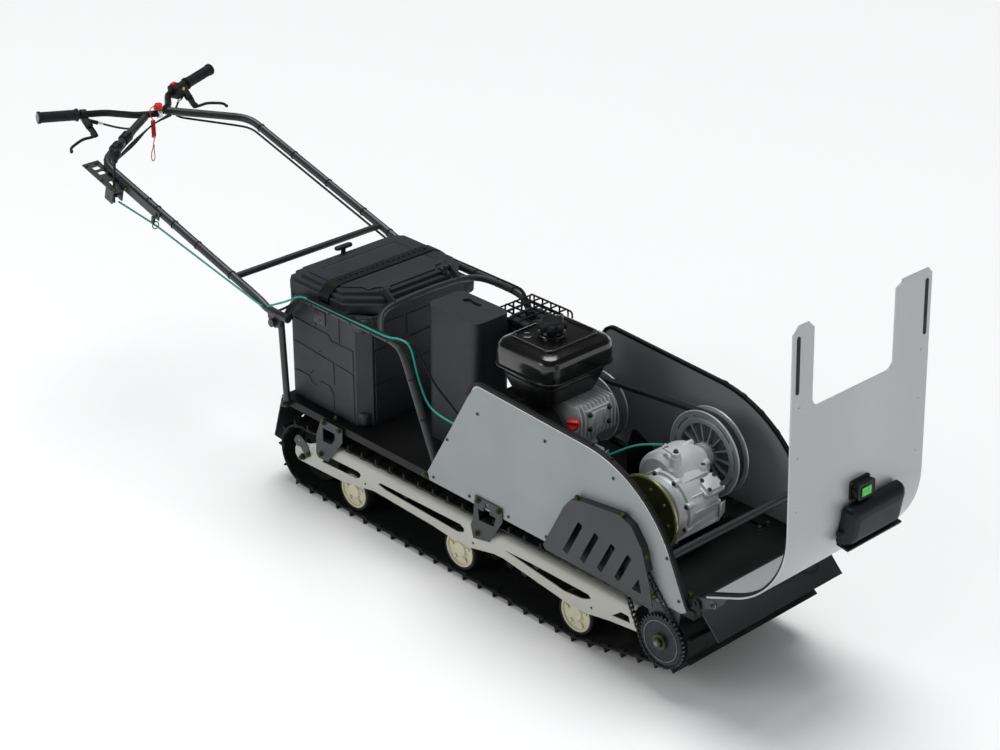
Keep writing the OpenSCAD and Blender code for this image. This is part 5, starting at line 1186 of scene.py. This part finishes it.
def make_wheels():
    """Road wheels: a tyre, and a cream hub with a recess, a raised middle and five ribs."""
    for body, solid, x in WHEELS:
        middle = (x, -241, WHEEL_Z)
        tyre = turned([(52, 2), (60, 1), (WHEEL_R - 1.4, 3.5), (WHEEL_R, 7), (WHEEL_R, 25),
                       (WHEEL_R - 1.4, 28.5), (60, 31), (52, 30)], middle, ACROSS, 64)
        hub = turned([(10.2, 31), (50, 31), (53.2, 29), (53.2, 2), (52, 0.4), (47.5, 0.2), (45.5, 5.4),
                      (26.5, 6.2), (25.6, 4.4), (23.4, 4.4), (22.8, 2.4), (20.5, 0.4), (12, 0), (0, 0),
                      (0, 7.6), (10.2, 7.6)], middle, ACROSS, 64)
        near = [painted(tyre, "trim"), painted(hub, "hub")]
        for place in turns((x, 0, WHEEL_Z), [-radians(72 * k + 20) for k in range(5)]):
            rib = block(loc(28, -240.4, -4.5), loc(41, -235.4, 4.5), 1.2, 2)
            near.append(painted(set_in(rib, place), "hub"))
        parts = []
        for piece in near:
            parts += mirrored(piece)
        fitted(body + "_pair", parts, body, replaces=[solid])


# in y the middle of the chain, its pitch, and the pitch radii of the chain wheel and of the output sprocket
CHAIN_Y, CHAIN_PITCH, BIG_RADIUS, SMALL_RADIUS = -262, 12.7, 72.86, 34.56


def chain_points():
    """Middles of the chain's rollers along its closed loop, one pitch apart."""
    (bx, bz), (sx, sz) = AXLE, OUTPUT
    base, dip = atan2(sz - bz, sx - bx), asin((BIG_RADIUS - SMALL_RADIUS) / hypot(sx - bx, sz - bz))
    up, down, steps = base - pi / 2 + dip, base + pi / 2 - dip, 90
    line = []
    for x, z, radius, first, last in ((bx, bz, BIG_RADIUS, up, down - 2 * pi),
                                      (sx, sz, SMALL_RADIUS, down, up)):
        for k in range(steps + 1):
            a = first + (last - first) * k / steps
            line.append(Vector((x + radius * cos(a), z + radius * sin(a))))
    lengths = [0.0]
    for a, b in zip(line, line[1:] + line[:1]):
        lengths.append(lengths[-1] + (b - a).length)
    count = 2 * round(lengths[-1] / CHAIN_PITCH / 2)
    out, j = [], 0
    for k in range(count):
        s = lengths[-1] * k / count
        while lengths[j + 1] < s:
            j += 1
        t = (s - lengths[j]) / max(lengths[j + 1] - lengths[j], 1e-9)
        out.append(line[j].lerp(line[(j + 1) % len(line)], t))
    return out


def waist_link(length, low, high):
    """Figure-of-eight plate of a chain link along x, between two depths."""
    outline = []
    for side, first in ((1, -5), (-1, 5)):
        for k in range(first, first + 11):
            a = k * pi / 10
            outline.append((side * length / 2 + 4.1 * cos(a), 4.1 * sin(a)))
        outline.append((0, side * 2.7))
    return plate(origin_outline(outline), low, high, 0.25, 1)


def make_chain():
    """Roller chain: waisted inner and outer plates, rollers and pin heads along the fixed loop."""
    points = chain_points()
    outer, inner, rolls = [], [], []
    for k, (a, b) in enumerate(zip(points, points[1:] + points[:1])):
        middle, way = (a + b) / 2, b - a
        (outer if k % 2 else inner).extend(turns((middle.x, CHAIN_Y, middle.y), [-atan2(way.y, way.x)]))
        rolls.append(Matrix.Translation(at(a.x, CHAIN_Y, a.y)))
    pitch = (points[1] - points[0]).length
    parts = []
    for side in (-1, 1):
        for places, y0, y1 in ((outer, 5.0, 6.4), (inner, 3.4, 4.8)):
            link = waist_link(pitch, *sorted((side * y0, side * y1)))
            parts.append(painted(scattered(link, places), "chain_plate"))
    radius = sizes().roller / 2
    roller = turned([(1.6, -3.2), (radius - 0.3, -3.2), (radius, -2.8), (radius, 2.8), (radius - 0.3, 3.2),
                     (1.6, 3.2)], ORIGIN, ACROSS, 14)
    parts.append(painted(scattered(roller, rolls), "steel"))
    pin = turned([(0, -7.4), (1.5, -7.2), (1.9, -6.8), (1.9, 6.8), (1.5, 7.2), (0, 7.4)], ORIGIN, ACROSS, 10)
    parts.append(painted(scattered(pin, rolls), "dark_steel"))
    fitted("roller_chain", parts, "chassis", replaces=["drive_chain"])


BAR_END, GRIP_WAY = Vector((-1909, 330, 883.7)), Vector((-49, 183, 19)).normalized()


def make_grips():
    """Ribbed rubber grips with a pale end cap and an inner flange."""
    ribs = [(17.5 if k % 2 else 17.5 - sizes().grip_rib, -6 - 2.6 * k) for k in range(42)]
    profile = [(0, 3.2), (16, 3.2), (19.5, 2), (19.5, -4.5), *ribs, (17.5, -118), (20.4, -120.5),
               (20.4, -126), (17.5, -127), (11.2, -127), (11.2, -4), (0, -4)]
    grip = painted(turned(profile, BAR_END, GRIP_WAY, 44, 30), "grip")
    end = painted(turned([(0, 2.6), (15, 2.6), (15, 3.8), (14, 4.6), (0, 4.8)], BAR_END, GRIP_WAY, 32),
                  "grip_end")
    fitted("rubber_grips", mirrored(grip) + mirrored(end), "handle", replaces=["grips"])


# place of the far lever, whose plane slopes with the handlebar
LEVER = Matrix.Translation(at(-1840, 195, 840)) @ Matrix.Rotation(radians(36.87), 4, "Y")


def lever_blade():
    """Cast lever, drawn at the origin: a forked root, a slim blade, a round hooked tip and the pin."""
    root = plate(origin_outline([(-9, -8), (4, -12), (26, -13), (44, -11), (46, 0), (44, 14), (34, 12),
                                 (24, 8), (6, 11), (-9, 7)]), -2.6, 2.6, 1.2)
    root.data.transform(Matrix.Rotation(radians(-90), 4, "X"))
    bend = route([(32, -5, 0), (41, 0, 0), (41, 16, 0), (39, 44, 0), (47, 72, 0), (57, 100, 0),
                  (70, 105, 0)], 14)
    arm = pipe([loc(*p) for p in bend], 9.4)
    tip = turned([(0, -5), (3.5, -4.4), (5.2, -2), (5.2, 2), (3.5, 4.4), (0, 5)], loc(70, 105, 0),
                 UPRIGHT, 20)
    pin = drum(loc(0, 0, -11), loc(0, 0, 11), 2.9, 0.5, 16)
    return joined([root, arm, tip, pin])


def make_levers():
    """The brake lever on the far grip and the throttle lever on the near one."""
    right = set_in(lever_blade(), LEVER)
    left = set_in(lever_blade(), MIRROR @ LEVER)
    fitted("brake_blade", right, "brake", "plastic", replaces=["brake_lever"])
    fitted("throttle_blade", left, "throttle", "plastic", replaces=["throttle_lever"])


def make_perches():
    """Lever perches with cable adjusters and clamps, the switch block with its wells, and the stop clip."""
    parts, bright = [], []
    for side in (1, -1):
        mirror = Matrix.Scale(side, 4, ACROSS)
        body = block(loc(-36, -13, -8.6), loc(8, 8, 8.6), 2.5, 2, corner=6)
        body = cut(body, [block(loc(-12, -22, -3.4), loc(30, 24, 3.4), 0)])
        stub = drum(loc(-20, -10, 0), loc(-2, -36, 0), 6.5, 0.8, 24)
        parts.append(set_in(joined([body, stub]), mirror @ LEVER))
        adjuster = [drum(loc(-4, -33, 0), loc(4, -46, 0), 5.6, 0.6, 6),
                    drum(loc(3, -44, 0), loc(9, -53, 0), 4.2, 0.6, 20),
                    drum(loc(-30, 8, 0), loc(-30, 12, 0), 4, 0.6, 6)]
        bright.append(set_in(joined(adjuster), mirror @ LEVER))
        clamp = turned([(11.3, -10), (15.5, -10), (16.5, -9), (16.5, 9), (15.5, 10), (11.3, 10)],
                       BAR_END - 144 * GRIP_WAY, GRIP_WAY, 36)
        parts.append(clamp if side > 0 else set_in(clamp, MIRROR))
    turn, lift = atan2(GRIP_WAY.y, GRIP_WAY.x), asin(hypot(GRIP_WAY.x, GRIP_WAY.y))
    place = (Matrix.Translation(at(*(BAR_END - 196 * GRIP_WAY))) @ Matrix.Rotation(turn, 4, "Z")
             @ Matrix.Rotation(lift, 4, "Y"))
    lower = block(loc(-20, -24, 0.4), loc(23, 19.8, 18.4), 4, 3, corner=9)
    upper = block(loc(-20, -24, 19.6), loc(23, 19.8, 37.8), 4, 3, corner=9)
    waist = block(loc(-18.5, -22.5, 12), loc(21.5, 18.5, 26), 1, 1, corner=8)
    wells = joined([drum(loc(-18.2, 7, 10.8), loc(-18.2, 7, 27.2), 8.4, 0, 40),
                    drum(loc(-6, -26, 28), loc(-6, -14, 28), 5.3, 0, 32),
                    drum(loc(0, 0, -4), loc(0, 0, 42), 11.2, 0, 40)])
    for shell in (lower, upper, waist):
        parts.append(set_in(cut(shell, [moved(wells, Matrix())[1]], True), place))
    bpy.data.objects.remove(wells)
    x = -1735
    parts.append(turned([(0, 861), (9, 861), (9, 873), (7.8, 874), (7.8, 886), (6.8, 887), (0, 887)],
                        (x, 0, 0), UPRIGHT, 32))
    fitted("bar_fittings", parts, "handle", "plastic", replaces=["bar_controls"])
    collar = turned([(11.2, -7), (13.4, -6), (13.4, 6), (11.2, 7)], (x, 0, 861), ACROSS, 32)
    fitted("cable_adjusters", bright + [collar], "handle", "bright_metal_and_highlight")
    clip = turned([(8, 875.5), (11.4, 875.5), (12.5, 876.6), (12.5, 882), (11.6, 883), (11.6, 884.4),
                   (12.5, 885.4), (12.5, 892), (11.4, 893.5), (0, 893.5), (0, 888.5), (8, 888.5)], (x, 0, 0),
                  UPRIGHT)
    ear = block((x - 6, -16, 876), (x + 6, -10, 890), 1.5, 2)
    lip = turned([(11.8, 879.4), (13.4, 880), (13.4, 881.6), (11.8, 882.2)], (x, 0, 0), UPRIGHT, 40)
    fitted("clip_cap", [clip, ear, lip], "handle", "red", replaces=["tether_clip"])


def make_shifter():
    """Ball knob with a seam, the bent rod, plate bolts, boots and bands on the tubes and the cable ring."""
    x, z, y = -1530, 864, -310
    lean = (0.16, 0, 1)
    ball = turned([(19 * sin(pi * k / 24), -19 * cos(pi * k / 24)) for k in range(25)], (x, y, z), lean, 40)
    seam = turned([(18.6, -0.8), (19.5, -0.5), (19.5, 0.5), (18.6, 0.8)], (x, y, z), lean)
    collar = turned([(4, -28), (8, -28), (9.5, -24), (9.5, -17), (4, -17)], (x, y, z), lean, 28)
    rod = pipe([(-1553, y, 724), (-1549, y, 750), (-1536, y, 828), (x, y, z)], 8.2)
    hub = turned([(3.2, -8), (8, -7.6), (8, 7.6), (3.2, 8)], (-1553, y, 724), ACROSS, 28)
    tail = block((-1557, y - 3, 700), (-1550, y + 3, 724), 1.4, 2)
    fitted("shift_knob", [ball, seam, collar, rod, hub, tail], "shifter", "plastic",
           replaces=["shift_lever"])
    slope = radians(15.45)
    gate = Matrix.Translation(at(-1671, 0, 800 + tan(slope) * 31)) @ Matrix.Rotation(slope, 4, "Y")
    top = (sin(slope), 0, cos(slope))
    points = [(point_of(gate, u, v, -12.8), top) for u, v in
              ((12, -330), (12, -292), (74, -292), (94, -330), (150, -292), (160, -330))]
    points += [(point_of(gate, u, -298.2, -4), (0, -1, 0)) for u in (180, 330)]
    screws("gate_bolts", points, 6, "hexagon", "handle")
    high, low, end = Vector((-1640, -281, 800)), Vector((-884, -281, 591)), Vector((-1754, -38, 856))
    boot = [(12.6, -17), (16, -17), (18, -15), (18, -3), (16.4, -2), (16.4, 2), (18, 3), (18, 15), (16, 17),
            (12.6, 17)]
    parts = [turned(boot, high.lerp(end, share), (end - high).normalized(), 36) for share in (0.30, 0.52)]
    down, far = (low - high).normalized(), Vector((1, -1, 1))
    parts += [band(high.lerp(low, share), down, 12.6) for share in (0.30, 0.36, 0.47, 0.62, 0.83)]
    parts += [band(high.lerp(low, share) * far, down, 12.6) for share in (0.08, 0.30, 0.52, 0.74, 0.90)]
    ring = [(-1359, -298 + du, 682 + dv) for du, dv in ring_of(24, 11)]
    parts.append(pipe(ring, 3.4, closed=True, sides=3))
    fitted("handle_bands", parts, "handle", "plastic")
    lines = [pipe(route([(-1738 + 4 * k, 40, 847), (-1722, -30 - 4 * k, 838), (-1694, -128, 815 - 5 * k),
                         (-1662, -214 - 6 * k, 789 - 4 * k), (-1626, -262, 772 - 5 * k),
                         (-1560, -266 + 3 * k, 757 - 4 * k)], 40), 5.6, sides=3) for k in range(4)]
    fitted("handle_bundle", lines, "handle", "cable")


def make_ties():
    """Cable ties round the upper tubes and the second bundle of cables along the near one."""
    parts = []
    for y in (-236, 236):
        parts += [band((x, y, 631.4), FORWARD, 11.1) for x in (-690, -610, -520, -430, -360)]
        parts += [band((-300 + 132 * t, y, 600 - 303 * t), (132, 0, -303), 11.1) for t in (0.2, 0.55)]
    fitted("cable_ties", parts, "chassis", "plastic")
    lines = []
    for dy, dz in ((-3, -5), (-9, 4), (4, 8)):
        line = route([(-700, -246 + dy * 0.5, 645 + dz * 0.3), (-560, -248 + dy * 0.3, 646 + dz * 0.2),
                      (-420, -247, 645.5 + dz * 0.2), (-340, -244, 642 + dz * 0.3)], 40)
        lines.append(pipe(line, 5, sides=3))
    fitted("cable_bundle", lines, "chassis", "cable")


def hood_place():
    """Place of the flat of the open hood: x along it, y across, z outwards."""
    foot, bend_start, bend_radius, bend, sheet = (841, 0, 352), 101, 240, radians(69.5), 2
    frame_at = Matrix.Translation(at(*foot)) @ Matrix.Rotation(radians(-22.7), 4, "Y")
    past_bend = Vector((bend_start + bend_radius * sin(bend), 0, -bend_radius * (1 - cos(bend)))) * MM
    return (frame_at @ Matrix.Scale(-1, 4, UPRIGHT) @ Matrix.Translation(past_bend)
            @ Matrix.Rotation(bend, 4, "Y") @ Matrix.Translation((0, 0, sheet * MM)))


def make_lamp():
    """Lamp housing with a sunk rim and a round bar in front, and the display pod with knobs and screws."""
    flat = hood_place()
    place = (flat @ Matrix.Translation(Vector((14, 0, 7.9)) * MM) @ Matrix.Rotation(radians(-11.2), 4, "Y")
             @ Matrix.Translation(Vector((-112, 0, 0)) * MM))
    body = stacked(2 - SHIFT, 112 - SHIFT, -62, 150, 0, 13, [(16, 0), (12, -4), (9, -9), (5, -13)], 3, 3, 15)
    rim = block(loc(0, -60, 3), loc(7, 148, 41), 2, 2, sides=[((-1, 0, 0), [(7, 0), (1, -5)])])
    bar = drum(loc(40, -72, 12), loc(40, 160, 12), 9, 1.4, 32)
    fitted("lamp_body", [set_in(p, place) for p in (body, rim, bar)], "hood", "plastic",
           replaces=["lamp_housing"])
    foot = block(loc(17, -32, 0.3), loc(69, 42, 4), 1, 2, corner=8)
    case = block(loc(22, -27, 4), loc(64, 37, 26), 2.5, 3, corner=6, sides=[(UPRIGHT, [(4, 0), (0.8, -1.2)])])
    knobs = [drum(loc(44, y, 14), loc(44, y + d, 14), 7, 1, 24) for y, d in ((-27, -5), (37, 5))]
    fitted("display_pod", [set_in(p, flat) for p in (foot, case, *knobs)], "hood", "plastic",
           replaces=["pod"])
    outwards = flat.to_3x3() @ Vector(UPRIGHT)
    points = [(point_of(flat, u, v, 4), outwards) for u, v in ((22, -28), (64, -28), (22, 38), (64, 38))]
    screws("pod_screws", points, 3.4, "hexagon", "hood")


def make_hood():
    """Hinge bolts of the hood and the flat rivets in its face."""
    points = [((x, side * 240.4, z), (0, side, 0)) for side in (-1, 1) for x, z in ((797, 310), (853, 330))]
    screws("hinge_bolts", points, 9, "button", "hood")
    rivet = [(0, 0.1), (3.4, 0.1), (3.4, 0.8), (2.2, 1.4), (0, 1.4)]
    dots = [set_in(turned(rivet, loc(u, v, 0), UPRIGHT, 20), hood_place()) for u in (60, 200, 330)
            for v in (-226, 226)]
    fitted("hood_rivets", dots, "hood", "hood")


def make_lead():
    """Thin lead that runs from the near hinge over the nose plate and curls back in a flat loop."""
    x0, z0, half_right = 818, 288, 0.7071

    def on_slope(u, y):
        return (x0 + u * half_right, y, z0 - u * half_right + 3)

    line = route([(776, -150, 291.5), (800, -120, 291.5), on_slope(8, -90), on_slope(26, -20),
                  on_slope(34, 60), on_slope(30, 120), on_slope(16, 150), on_slope(14, 176),
                  on_slope(30, 184), on_slope(48, 168), on_slope(40, 132), on_slope(24, 104)], 30, 6)
    fitted("nose_lead", pipe(line, 4.2, sides=3), "chassis", "cable")


def make_surroundings():
    """White for the camera, a dim level light for the rest, and reflections that darken with height."""
    world = bpy.data.worlds.new("Studio")
    bpy.context.scene.world = world
    world.use_nodes = True
    tree = world.node_tree
    tree.nodes.clear()
    rays = node(tree, "LightPath").outputs
    shown = node(tree, "Math", [(0, rays["Is Camera Ray"]), (1, rays["Is Transmission Ray"])],
                 operation="ADD", use_clamp=True).outputs[0]
    seen = node(tree, "Math", [(0, shown), (1, rays["Is Glossy Ray"])], operation="ADD",
                use_clamp=True).outputs[0]
    height = node(tree, "SeparateXYZ", [(0, node(tree, "TexCoord").outputs["Generated"])]).outputs["Z"]
    fade = node(tree, "MapRange", [("Value", height), ("From Min", 0.04), ("From Max", 0.26), ("To Min", 1.0),
                                   ("To Max", 0.07)]).outputs[0]
    shade = node(tree, "Math", [(0, shown), (1, fade)], operation="MAXIMUM").outputs[0]
    light = node(tree, "Background", [("Color", (0.96, 0.98, 1, 1)), ("Strength", 0.33)]).outputs[0]
    back = node(tree, "Background", [("Color", shade), ("Strength", 1.0)]).outputs[0]
    mix = node(tree, "MixShader", [("Fac", seen), (1, light), (2, back)]).outputs[0]
    node(tree, "OutputWorld", [("Surface", mix)])


def make_stage():
    """Pale floor, white surroundings and soft lamps at a plain level."""
    deselect()
    bpy.ops.mesh.primitive_grid_add(x_subdivisions=4, y_subdivisions=4, size=60, location=(0, 0, -0.0005))
    floor = bpy.context.object
    floor.name = "studio_floor"
    base = tuple(colours().floor)
    material, shader, _ = new_material("Studio floor", base, [0.995 * channel for channel in base], 0.6, 0.0,
                                       300.0, 0.00001, 0.7, 0.8, (1, 1, 1))
    shader.inputs["Specular IOR Level"].default_value = 0.1
    floor.data.materials.append(material)
    make_surroundings()

    lamps = [("Top lamp", "SUN", (-1.6, 2.4, 14.0), (0.2, 0, 0.3), radians(40), 2.0),
             ("Side lamp", "AREA", (-1.5, -5.5, 3.2), (0, 0, 0.5), 3.5, 105),
             ("Front lamp", "AREA", (6.5, 1.5, 3.6), (0.4, 0, 0.5), 3.0, 24)]
    for name, kind, place, target, size, power in lamps:
        way = Vector(target) - Vector(place)
        bpy.ops.object.light_add(type=kind, location=place, rotation=way.to_track_quat("-Z", "Y").to_euler())
        lamp = bpy.context.object
        lamp.name = name
        if kind == "SUN":
            lamp.data.angle = size
        else:
            lamp.data.shape = "DISK"
            lamp.data.size = size
        lamp.data.energy = power
    bpy.context.scene.view_settings.view_transform = "Standard"


class TOW_OT_camera(bpy.types.Operator):
    """Camera of the tow vehicle"""
    bl_idname = "tow.camera"
    bl_label = "Camera"

    def execute(self, context):
        make_camera()
        return {"FINISHED"}


class TOW_OT_tether(bpy.types.Operator):
    """Tether cord of the tow vehicle"""
    bl_idname = "tow.tether"
    bl_label = "Tether cord"

    def execute(self, context):
        make_tether()
        return {"FINISHED"}


class TOW_OT_finishes(bpy.types.Operator):
    """Finishes of the tow vehicle"""
    bl_idname = "tow.finishes"
    bl_label = "Finishes"

    def execute(self, context):
        make_finishes()
        return {"FINISHED"}


class TOW_OT_track(bpy.types.Operator):
    """Track blocks of the tow vehicle"""
    bl_idname = "tow.track"
    bl_label = "Track blocks"

    def execute(self, context):
        make_track()
        return {"FINISHED"}


class TOW_OT_wheels(bpy.types.Operator):
    """Road wheels of the tow vehicle"""
    bl_idname = "tow.wheels"
    bl_label = "Road wheels"

    def execute(self, context):
        make_wheels()
        return {"FINISHED"}


class TOW_OT_chain(bpy.types.Operator):
    """Roller chain of the tow vehicle"""
    bl_idname = "tow.chain"
    bl_label = "Roller chain"

    def execute(self, context):
        make_chain()
        return {"FINISHED"}


class TOW_OT_sprocket(bpy.types.Operator):
    """Chain wheel nut of the tow vehicle"""
    bl_idname = "tow.sprocket"
    bl_label = "Chain wheel nut"

    def execute(self, context):
        make_sprocket()
        return {"FINISHED"}


class TOW_OT_screws(bpy.types.Operator):
    """Screws and bolts of the tow vehicle"""
    bl_idname = "tow.screws"
    bl_label = "Screws and bolts"

    def execute(self, context):
        make_screws()
        return {"FINISHED"}


class TOW_OT_panels(bpy.types.Operator):
    """Side panel edges of the tow vehicle"""
    bl_idname = "tow.panels"
    bl_label = "Side panel edges"

    def execute(self, context):
        make_panels()
        return {"FINISHED"}


class TOW_OT_engine(bpy.types.Operator):
    """Engine block of the tow vehicle"""
    bl_idname = "tow.engine"
    bl_label = "Engine block"

    def execute(self, context):
        make_engine()
        return {"FINISHED"}


class TOW_OT_shroud(bpy.types.Operator):
    """Blower housing of the tow vehicle"""
    bl_idname = "tow.shroud"
    bl_label = "Blower housing"

    def execute(self, context):
        make_shroud()
        return {"FINISHED"}


class TOW_OT_tank(bpy.types.Operator):
    """Fuel tank of the tow vehicle"""
    bl_idname = "tow.tank"
    bl_label = "Fuel tank"

    def execute(self, context):
        make_tank()
        return {"FINISHED"}


class TOW_OT_muffler(bpy.types.Operator):
    """Muffler and cage of the tow vehicle"""
    bl_idname = "tow.muffler"
    bl_label = "Muffler and cage"

    def execute(self, context):
        make_muffler()
        return {"FINISHED"}


class TOW_OT_gearbox(bpy.types.Operator):
    """Gearbox of the tow vehicle"""
    bl_idname = "tow.gearbox"
    bl_label = "Gearbox"

    def execute(self, context):
        make_gearbox()
        return {"FINISHED"}


class TOW_OT_brake(bpy.types.Operator):
    """Brake disc rim of the tow vehicle"""
    bl_idname = "tow.brake"
    bl_label = "Brake disc rim"

    def execute(self, context):
        make_brake()
        return {"FINISHED"}


class TOW_OT_pulleys(bpy.types.Operator):
    """Belt pulleys of the tow vehicle"""
    bl_idname = "tow.pulleys"
    bl_label = "Belt pulleys"

    def execute(self, context):
        make_pulleys()
        return {"FINISHED"}


class TOW_OT_box(bpy.types.Operator):
    """Cargo box mouldings of the tow vehicle"""
    bl_idname = "tow.box"
    bl_label = "Cargo box mouldings"

    def execute(self, context):
        make_box()
        return {"FINISHED"}


class TOW_OT_lid(bpy.types.Operator):
    """Box lid and strap of the tow vehicle"""
    bl_idname = "tow.lid"
    bl_label = "Box lid and strap"

    def execute(self, context):
        make_lid()
        return {"FINISHED"}


class TOW_OT_ties(bpy.types.Operator):
    """Cable ties of the tow vehicle"""
    bl_idname = "tow.ties"
    bl_label = "Cable ties"

    def execute(self, context):
        make_ties()
        return {"FINISHED"}


class TOW_OT_grips(bpy.types.Operator):
    """Handlebar grips of the tow vehicle"""
    bl_idname = "tow.grips"
    bl_label = "Handlebar grips"

    def execute(self, context):
        make_grips()
        return {"FINISHED"}


class TOW_OT_levers(bpy.types.Operator):
    """Control levers of the tow vehicle"""
    bl_idname = "tow.levers"
    bl_label = "Control levers"

    def execute(self, context):
        make_levers()
        return {"FINISHED"}


class TOW_OT_perches(bpy.types.Operator):
    """Handlebar fittings of the tow vehicle"""
    bl_idname = "tow.perches"
    bl_label = "Handlebar fittings"

    def execute(self, context):
        make_perches()
        return {"FINISHED"}


class TOW_OT_shifter(bpy.types.Operator):
    """Gear shifter of the tow vehicle"""
    bl_idname = "tow.shifter"
    bl_label = "Gear shifter"

    def execute(self, context):
        make_shifter()
        return {"FINISHED"}


class TOW_OT_lamp(bpy.types.Operator):
    """Lamp and pod of the tow vehicle"""
    bl_idname = "tow.lamp"
    bl_label = "Lamp and pod"

    def execute(self, context):
        make_lamp()
        return {"FINISHED"}


class TOW_OT_hood(bpy.types.Operator):
    """Hood hinge bolts of the tow vehicle"""
    bl_idname = "tow.hood"
    bl_label = "Hood hinge bolts"

    def execute(self, context):
        make_hood()
        return {"FINISHED"}


class TOW_OT_lead(bpy.types.Operator):
    """Nose lead of the tow vehicle"""
    bl_idname = "tow.lead"
    bl_label = "Nose lead"

    def execute(self, context):
        make_lead()
        return {"FINISHED"}


class TOW_OT_stage(bpy.types.Operator):
    """Studio stage of the tow vehicle"""
    bl_idname = "tow.stage"
    bl_label = "Studio stage"

    def execute(self, context):
        make_stage()
        return {"FINISHED"}


OPERATORS = [TOW_OT_camera, TOW_OT_tether, TOW_OT_finishes, TOW_OT_track,
             TOW_OT_wheels, TOW_OT_chain, TOW_OT_sprocket, TOW_OT_screws,
             TOW_OT_panels, TOW_OT_engine, TOW_OT_shroud, TOW_OT_tank,
             TOW_OT_muffler, TOW_OT_gearbox, TOW_OT_brake, TOW_OT_pulleys,
             TOW_OT_box, TOW_OT_lid, TOW_OT_ties, TOW_OT_grips,
             TOW_OT_levers, TOW_OT_perches, TOW_OT_shifter, TOW_OT_lamp,
             TOW_OT_hood, TOW_OT_lead, TOW_OT_stage]


class TOW_PT_panel(bpy.types.Panel):
    """Buttons and values of the tow vehicle"""
    bl_label = "Tow vehicle"
    bl_idname = "TOW_PT_panel"
    bl_space_type = "VIEW_3D"
    bl_region_type = "UI"
    bl_category = "Tow Vehicle"

    def draw(self, context):
        for operator in OPERATORS:
            self.layout.operator(operator.bl_idname)
        for group_of in (context.scene.tow_sizes, context.scene.tow_colours):
            for name in group_of.__annotations__:
                self.layout.prop(group_of, name)


CLASSES = [TowColours, TowSizes, *OPERATORS, TOW_PT_panel]


def register():
    for kind in CLASSES:
        bpy.utils.register_class(kind)
    bpy.types.Scene.tow_colours = bpy.props.PointerProperty(type=TowColours)
    bpy.types.Scene.tow_sizes = bpy.props.PointerProperty(type=TowSizes)


def unregister():
    del bpy.types.Scene.tow_sizes
    del bpy.types.Scene.tow_colours
    for kind in reversed(CLASSES):
        bpy.utils.unregister_class(kind)


def main():
    """Makes every piece in order."""
    register()
    for operator in OPERATORS:
        family, name = operator.bl_idname.split(".")
        if getattr(getattr(bpy.ops, family), name)() != {"FINISHED"}:
            raise RuntimeError(operator.bl_label + " was not made")
    deselect()
    for loose in [piece for piece in bpy.data.objects if piece.users_collection == ()]:
        bpy.data.objects.remove(loose)


if __name__ == "__main__":
    main()
